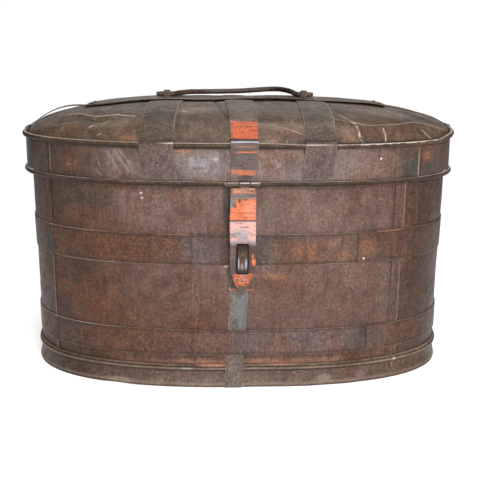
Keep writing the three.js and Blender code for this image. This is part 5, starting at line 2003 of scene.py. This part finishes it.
# where the bands' edge lines are lightest: wear and painted highlight
bandEdgeSpots = [
    spot((-225, -100, 190), (75, 80, 8), 1.0),
    spot((-215, -110, 73), (80, 90, 6), 1.0),
    spot((-180, -130, 155), (50, 50, 5), 0.8),
    spot((60, -160, 191), (60, 20, 4), 0.5),
]
bandLook = lookWith(
    edgeWidth=1.2,
    edgeAmount=0.85,
    edgeLeast=0.1,
    edgeMost=0.45,
    edgeSpots=bandEdgeSpots,
    edgeGrime=0.45,
    rustFrom=0.46,
    rust=0.75,
    rustSpots=bandRust,
    specks=0.55,
    mottleDepth=0.36,
)
bandSheet = wornFinish("bandSheet", bandLook, bandPatches, bandScratches, bandTones)
lapLook = {**bandLook, "edgeSpots": (), "edgeLeast": 0.0, "edgeMost": 0.08, "edgeGrime": 0.0}
lapSheet = wornFinish("lapSheet", lapLook, bandPatches, bandScratches, bandTones)
# the base bead: a painted highlight, partly wear, along its crest, and painted shade under its roll and in
# its groove
beadLook = lookWith(
    deep=(0.1, 0.065, 0.042),
    middle=(0.2, 0.135, 0.09),
    edgeWidth=2.2,
    edgeRagged=3.0,
    edgeAmount=0.5,
    edgeColour=(0.36, 0.28, 0.2),
    edgeLeast=0.3,
    edgeMost=0.9,
    edgeGrime=0,
    creaseAmount=0.5,
    tone=0.8,
)
beadPatches = [
    patch((-35, -160, 29), (18, 8, 3), 0.6, (0.55, 0.26, 0.15), 2.0),
    patch((50, -160, 31), (24, 8, 3), 0.55, (0.5, 0.26, 0.17), 2.0),
    # painted highlights on the bead: at the front, and at the notch near the right seam
    patch((-67, -160, 24.3), (8, 6, 1.4), 0.4, (0.5, 0.47, 0.47), 1.4),
    patch((192.9, -129, 23.5), (2.4, 5, 3), 0.8, (0.6, 0.56, 0.48), 1.6),
]
baseBead = wornFinish("baseBead", beadLook, beadPatches)

# the front strap and the staple
frontStrapPatches = [
    patch((-2, -161, 98), (9, 8, 25), 0.85, (0.125, 0.132, 0.128), 1.6),
    patch((3, -161, 112), (6, 8, 9), 0.6, (0.14, 0.148, 0.148), 2.4),
    patch((-9, -161, 80), (4, 8, 10), 0.6, (0.06, 0.05, 0.045), 2.0),
]
strapLook = lookWith(middle=(0.12, 0.085, 0.062), deep=(0.06, 0.042, 0.03), edgeAmount=0.5)
frontStrapLook = {
    **strapLook,
    "deep": (0.15, 0.115, 0.095),
    "middle": (0.25, 0.195, 0.165),
    "edgeColour": hemTan,
}
frontStrapSteel = wornFinish("frontStrapSteel", frontStrapLook, frontStrapPatches)
redLine = (0.4, 0.1, 0.08)
staplePlatePatches = [
    strip((-12.3, -164, 124.9), (4.3, 6, 1.4), 0.85, redLine, 0.5),
    strip((7.2, -164, 124.6), (5.0, 6, 1.4), 0.85, redLine, 0.5),
    patch((-16.5, -164, 126), (1.2, 6, 3), 0.7, (0.45, 0.38, 0.33), 1.0),
]
staplePlateSteel = wornFinish("staplePlateSteel", strapLook, staplePlatePatches)
staplePatches = [
    # painted highlights down the staple's sides and middle, then painted shade on its underside and under
    # the slot's top edge
    patch((-6.0, -182, 161), (1.0, 9, 7), 0.85, (0.5, 0.5, 0.58), 1.2, soft=0.5),
    patch((2.6, -182, 161), (1.2, 9, 6), 0.8, (0.45, 0.45, 0.52), 1.4, soft=0.5),
    patch((-1.8, -182, 158), (2.0, 9, 4), 0.5, (0.3, 0.3, 0.36), 2.8, soft=0.5),
    patch((-1, -180, 148), (8, 9, 5), 0.8, (0.035, 0.024, 0.018), 1.4),
    patch((-1, -180, 178), (8, 9, 4), 0.7, (0.04, 0.026, 0.018), 1.4),
]
stapleLook = lookWith(
    deep=(0.05, 0.027, 0.014),
    middle=(0.12, 0.066, 0.034),
    tone=0.85,
    gloss=(0.34, 0.5),
    specular=0.25,
    edgeAmount=0.3,
)
stapleSteel = wornFinish("stapleSteel", stapleLook, staplePatches)

# chipped paint on the hasp
orangePaint = (0.68, 0.17, 0.07)
deepOrange = (0.6, 0.11, 0.035)
salmonPaint = (0.68, 0.26, 0.16)
pinkPaint = (0.68, 0.34, 0.29)
chipDark = (0.05, 0.045, 0.04)
bareGrey = (0.34, 0.28, 0.285)
stripeGrey = (0.19, 0.145, 0.125)


def paintBox(low, high, colour, amount=0.95, ragged=0.4, **extra):
    # a painted zone between two corners, in mm
    middle = tuple((a + b) / 2 for a, b in zip(low, high))
    half = tuple(max((b - a) / 2, 0.3) for a, b in zip(low, high))
    square = {"ragged": ragged, "fine": 1, "square": 1, "soft": 0.12}
    return spot(middle, half, amount, colour, **{**square, **extra})


def haspZone(x0, x1, z0, z1, colour, amount=0.95, ragged=0.4, **extra):
    return paintBox((x0, -180, z0), (x1, -165, z1), colour, amount, ragged, **extra)


haspZones = [
    haspZone(-8, 8, 250, 259, (0.06, 0.04, 0.028), 0.9, 0.5),
    # painted highlight on the hasp's knuckle
    haspZone(-5, 6, 254.6, 255.9, (0.6, 0.58, 0.58), 0.9, 1.0),
    haspZone(-13.5, 12.5, 243.0, 249.2, salmonPaint, 0.85, 1.6, broken=0.9),
    haspZone(-6, 7, 244, 249, (0.3, 0.16, 0.1), 0.5, 3.0, square=0),
    haspZone(-16, 15, 236.6, 242.6, stripeGrey, 0.9, 0.5),
    haspZone(-16, 15, 239.2, 240.2, chipDark, 0.6, 1.0),
    haspZone(-17, -9.0, 219, 236.8, (0.2, 0.18, 0.175), 0.9, 0.3),
    haspZone(-13.6, -10, 222, 233, (0.06, 0.08, 0.1), 0.7, 2.4, broken=0.5),
    haspZone(-10.4, 14.3, 211.6, 236.2, orangePaint, 0.97, 0.3, broken=0.3, fine=0),
    haspZone(-15.6, -9.5, 212.0, 226.4, orangePaint, 0.97, 0.6, fine=0),
    haspZone(-16.6, -12, 212.0, 220, orangePaint, 0.97, 0.4),
    haspZone(1, 14.6, 213, 235, salmonPaint, 0.6, 1.8, square=0, soft=0.6),
    haspZone(-9, 0, 212, 221, deepOrange, 0.5, 1.8, square=0, soft=0.6),
    haspZone(-6.2, -3.9, 231.5, 237, chipDark, 0.9, 1.2),
    haspZone(-10.9, -9.3, 225.5, 233, chipDark, 0.85, 1.6),
    haspZone(1.2, 3.6, 234.8, 237, chipDark, 0.85, 1.2),
    haspZone(-6.2, 10.8, 219.7, 220.8, (0.16, 0.09, 0.07), 0.8, 1.6),
    haspZone(-17, 15, 209.8, 211.6, chipDark, 0.9, 0.7),
    haspZone(-17, 15, 183, 209.8, bareGrey, 0.95, 0.1),
    haspZone(-17, 15, 196.5, 209.7, pinkPaint, 0.95, 0.5, broken=0.3),
    haspZone(4.5, 15, 187, 205, pinkPaint, 0.92, 1.1, broken=0.4),
    haspZone(-16.5, -7, 186.4, 192.5, pinkPaint, 0.9, 1.2, square=0, soft=0.3),
    patch((-3, -172, 197.5), (11, 8, 3.6), 0.85, (0.36, 0.31, 0.3), 1.6),
    haspZone(-17, 15, 180, 185, (0.25, 0.2, 0.185), 0.8, 1.2),
    haspZone(-17, 15, 147, 181.5, (0.078, 0.046, 0.038), 0.95, 0.15),
    patch((-12, -172, 165), (4, 8, 15), 0.7, (0.17, 0.12, 0.105), 3.2),
    spot((-12, -172, 158), (5, 8, 8), 0.6, (0.045, 0.05, 0.042), ragged=3.2, broken=0.8),
    spot((11, -172, 172), (4, 8, 9), 0.6, (0.06, 0.035, 0.04), ragged=3.2, broken=0.8),
    patch((12.3, -172, 161), (2.6, 8, 4.2), 0.95, orangePaint, 1.8),
    patch((10.8, -172, 168), (1.2, 8, 2.6), 0.8, orangePaint, 1.8),
    haspZone(-17, 15, 120, 147, (0.1, 0.07, 0.05), 0.9, 0.2),
    haspZone(-12.6, 11.5, 131.6, 146.4, deepOrange, 0.95, 1.1, broken=0.85, fine=0),
    haspZone(-9, 6, 134, 145, salmonPaint, 0.6, 2.4, broken=0.8, square=0),
    patch((1.3, -172, 146), (3.6, 8, 2.6), 0.9, (0.17, 0.14, 0.13), 1.6),
    patch((-8.2, -172, 136.5), (1.4, 8, 0.9), 0.9, chipDark, 1.6),
    patch((-1.2, -172, 138.2), (0.9, 8, 1.9), 0.9, chipDark, 1.4),
    patch((3.4, -172, 133.5), (2.6, 8, 1.6), 0.6, chipDark, 2.0),
    patch((-2.4, -172, 127), (4.6, 8, 4), 0.85, (0.09, 0.062, 0.043), 1.8),
]
paintLook = lookWith(
    deep=(0.075, 0.052, 0.036),
    middle=(0.15, 0.105, 0.078),
    tone=1.0,
    grain=0.26,
    specks=0.4,
    gloss=(0.4, 0.55),
    edgeWidth=0.7,
    edgeRagged=1.6,
    edgeAmount=0.7,
    edgeLeast=0.5,
    edgeColour=(0.12, 0.085, 0.065),
    edgeGrime=0,
    bump=0.6,
    mottleDepth=0.25,
    scuff=0.65,
    scuffStretch=(0.16, 1, 1.1),
)
haspPaint = wornFinish("haspPaint", paintLook, haspZones)


def strapZone(x0, x1, y0, y1, z0, z1, colour, amount=0.95, ragged=0.5, **extra):
    return paintBox((x0, y0, z0), (x1, y1, z1), colour, amount, ragged, **extra)


foldHighlight = (0.5, 0.52, 0.62)
strapPurple = (0.115, 0.08, 0.078)
centreStrapZones = [
    strapZone(-24, 18, -178, -160, 247, 257.6, (0.075, 0.052, 0.036), 0.9, 0.3),
    # painted highlights on the strap's knuckles
    strapZone(-21, -6, -178, -160, 254.9, 255.9, (0.4, 0.35, 0.28), 0.8, 1.4),
    strapZone(8, 16, -178, -160, 254.6, 255.9, (0.6, 0.58, 0.55), 0.9, 1.0),
    strapZone(-18, 18, -176, -166.5, 257, 300, strapPurple, 0.85, 0.1),
    strapZone(-15.2, 15.6, -166.3, -137, 304.6, 323.0, deepOrange, 0.97, 0.4, broken=0.6, fine=0),
    strapZone(-15.4, -6.5, -145, -136, 317.5, 323.4, salmonPaint, 0.95, 1.2, fine=0),
    strapZone(-12, 14, -160, -144, 309, 313, (0.07, 0.04, 0.025), 0.75, 4.5, fine=0, square=0),
    strapZone(-4, 12, -154, -140, 314, 318, (0.07, 0.04, 0.025), 0.75, 4.5, fine=0, square=0),
    strapZone(-7, 7.2, -146, -135, 318, 323.6, (0.2, 0.18, 0.15), 0.9, 1.0, square=0),
    strapZone(7.2, 14.6, -146, -135, 320, 321.4, (0.7, 0.52, 0.45), 0.9, 1.2),
    strapZone(7.3, 9.7, -150, -140, 314.6, 318, chipDark, 0.9, 1.4),
    strapZone(-13.8, -8, -150, -140, 316.3, 317.4, (0.2, 0.09, 0.05), 0.85, 2.0),
    strapZone(-6.8, 4, -152, -142, 313.9, 314.7, (0.2, 0.09, 0.05), 0.85, 2.0),
    strapZone(0.3, 7.4, -158, -150, 309.2, 310.9, chipDark, 0.9, 1.2),
    strapZone(-15.6, -12.6, -162, -152, 306.6, 311, chipDark, 0.9, 1.4),
    # painted shade in the hollow between the dome and the rim roll, then a painted highlight on the strap's
    # fold over the roll
    strapZone(-17, 17, -168, -162.6, 301.5, 305.6, (0.045, 0.03, 0.022), 0.9, 0.5),
    strapZone(-16, 16.4, -173, -168.2, 301.0, 304, foldHighlight, 0.85, 0.35),
    strapZone(-11.5, 11, -178, -168, 296.8, 298.2, (0.4, 0.15, 0.1), 0.8, 2.6, broken=0.8),
    strapZone(-11, 15.5, -178, -166, 290.0, 292.2, (0.62, 0.17, 0.07), 0.9, 2.0, broken=0.7),
    strapZone(-15.5, -9, -178, -166, 276, 299, (0.08, 0.065, 0.07), 0.6, 1.8),
    strapZone(-16, 13.6, -178, -166, 263.0, 270.2, (0.6, 0.17, 0.08), 0.92, 1.8, broken=0.8),
    patch((2, -171, 262.4), (9, 6, 2.2), 0.8, chipDark, 1.8),
    patch((-12, -171, 264), (5, 6, 2), 0.8, (0.2, 0.14, 0.11), 1.8),
]
centreStrapLook = {
    **paintLook,
    "deep": (0.085, 0.068, 0.05),
    "middle": (0.15, 0.12, 0.092),
    "edgeColour": (0.3, 0.25, 0.19),
}
centreStrapPaint = wornFinish("centreStrapPaint", centreStrapLook, centreStrapZones)
strapTones = [
    spot((0, -170, 279), (300, 60, 24.5), 0.92, (0.15, 0.1, 0.088), soft=0.12, ragged=0.4, square=1),
    spot((0, -150, 308), (300, 30, 9), 0.6, (0.075, 0.05, 0.033), soft=0.4),
]
strapPatches = [
    # painted shade in the hollow above the rim roll, and painted highlights where the side straps cross the
    # roll
    strip((0, -172, 304), (300, 9, 1.5), 0.6, darkGrimeAndShade, 0.6),
    strip((-98, -176, 300.9), (30, 5, 0.8), 0.95, (0.66, 0.62, 0.58), 0.8),
    strip((98, -176, 299.4), (30, 5, 0.7), 0.8, (0.5, 0.42, 0.34), 0.8),
    spot((-248, 0, 316), (34, 9, 20), 0.8, (0.05, 0.035, 0.025), ragged=0.8, soft=0.3),
]
# wear and painted highlight along the strap edges on the dome
strapEdgeSpots = [spot((0, -100, 330), (300, 86, 24), 0.9, soft=0.3, ragged=1.2)]
lidStrapLook = lookWith(
    deep=(0.11, 0.085, 0.06),
    middle=(0.21, 0.168, 0.122),
    edgeWidth=1.4,
    edgeAmount=0.75,
    edgeLeast=0.05,
    edgeMost=0.3,
    edgeSpots=strapEdgeSpots,
    edgeGrime=0,
    rust=0.3,
)
strapSteel = wornFinish("strapSteel", lidStrapLook, strapPatches, (), strapTones)
hingeSteel = wornFinish("hingeSteel", lookWith(middle=(0.12, 0.09, 0.065)))
# the rolls: a painted highlight, partly wear, along the crest, brightest at the front, and painted shade
# underneath
rollLook = lookWith(
    deep=(0.05, 0.031, 0.019),
    middle=(0.115, 0.07, 0.045),
    edgeWidth=1.7,
    edgeRagged=2.0,
    edgeAmount=1.0,
    edgeLeast=0.4,
    edgeMost=0.9,
    edgeColour=(0.6, 0.53, 0.45),
    gloss=(0.42, 0.6),
    specular=0.15,
    edgeGrime=0,
    creaseAmount=0.5,
    edgeSpots=[spot((0, -172, 300), (130, 14, 8), 1.0)],
)
rollSheet = wornFinish("rollSheet", rollLook)
steelLook = lookWith(
    deep=(0.035, 0.022, 0.015),
    middle=(0.1, 0.06, 0.042),
    gloss=(0.3, 0.45),
    specular=0.4,
    edgeGrime=0,
)
darkSteel = wornFinish("darkSteel", steelLook)
rivetLook = lookWith(deep=(0.09, 0.078, 0.06), middle=(0.17, 0.15, 0.12), tone=1.0, specular=0.5)
rivetSteel = wornFinish("rivetSteel", rivetLook)
sideRivetLook = {**lidStrapLook, "edgeWidth": 0, "bump": 0.3}
sideRivetSteel = wornFinish("sideRivetSteel", sideRivetLook, (), (), strapTones)
ridgeSheet = wornFinish("ridgeSheet", lookWith(middle=(0.17, 0.14, 0.105)))
print("finishes made")

makeWalls(rustedSheet)
makeSeams(seamSheet)
makeBands(bandSheet, lapSheet)
makeBase(baseSheet, baseBead, darkSteel)
makeFrontStrap(frontStrapSteel)
makeStaple(stapleSteel, staplePlateSteel)
makeHingeLeaves(hingeSteel)
print("body done")
makeDome(domeSheet)
makeLidEdges(skirtSheet, rollSheet)
makeLidStrap("left", strapSteel, "strap_steel")
makeLidStrap("centre", centreStrapPaint, "chipped_paint")
makeLidStrap("right", strapSteel, "strap_steel")
makeHasp(haspPaint)
makeRidgePlate(ridgeSheet)
makeRidgeStrap("left", -1, strapSteel)
makeRidgeStrap("right", 1, strapSteel)
makeHandle(darkSteel)
for name, middle in handleForm["eyes"].items():
    makeHandleEye(name, middle, darkSteel)
makeRivets(rivetSteel, sideRivetSteel, darkSteel)
print("lid done")

for name in ("bottom_plate", "hinge_pin_left", "hinge_pin_right", "hasp_pin"):
    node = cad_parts[name]
    node.data.materials.clear()
    node.data.materials.append(rustedSheet if name == "bottom_plate" else darkSteel)
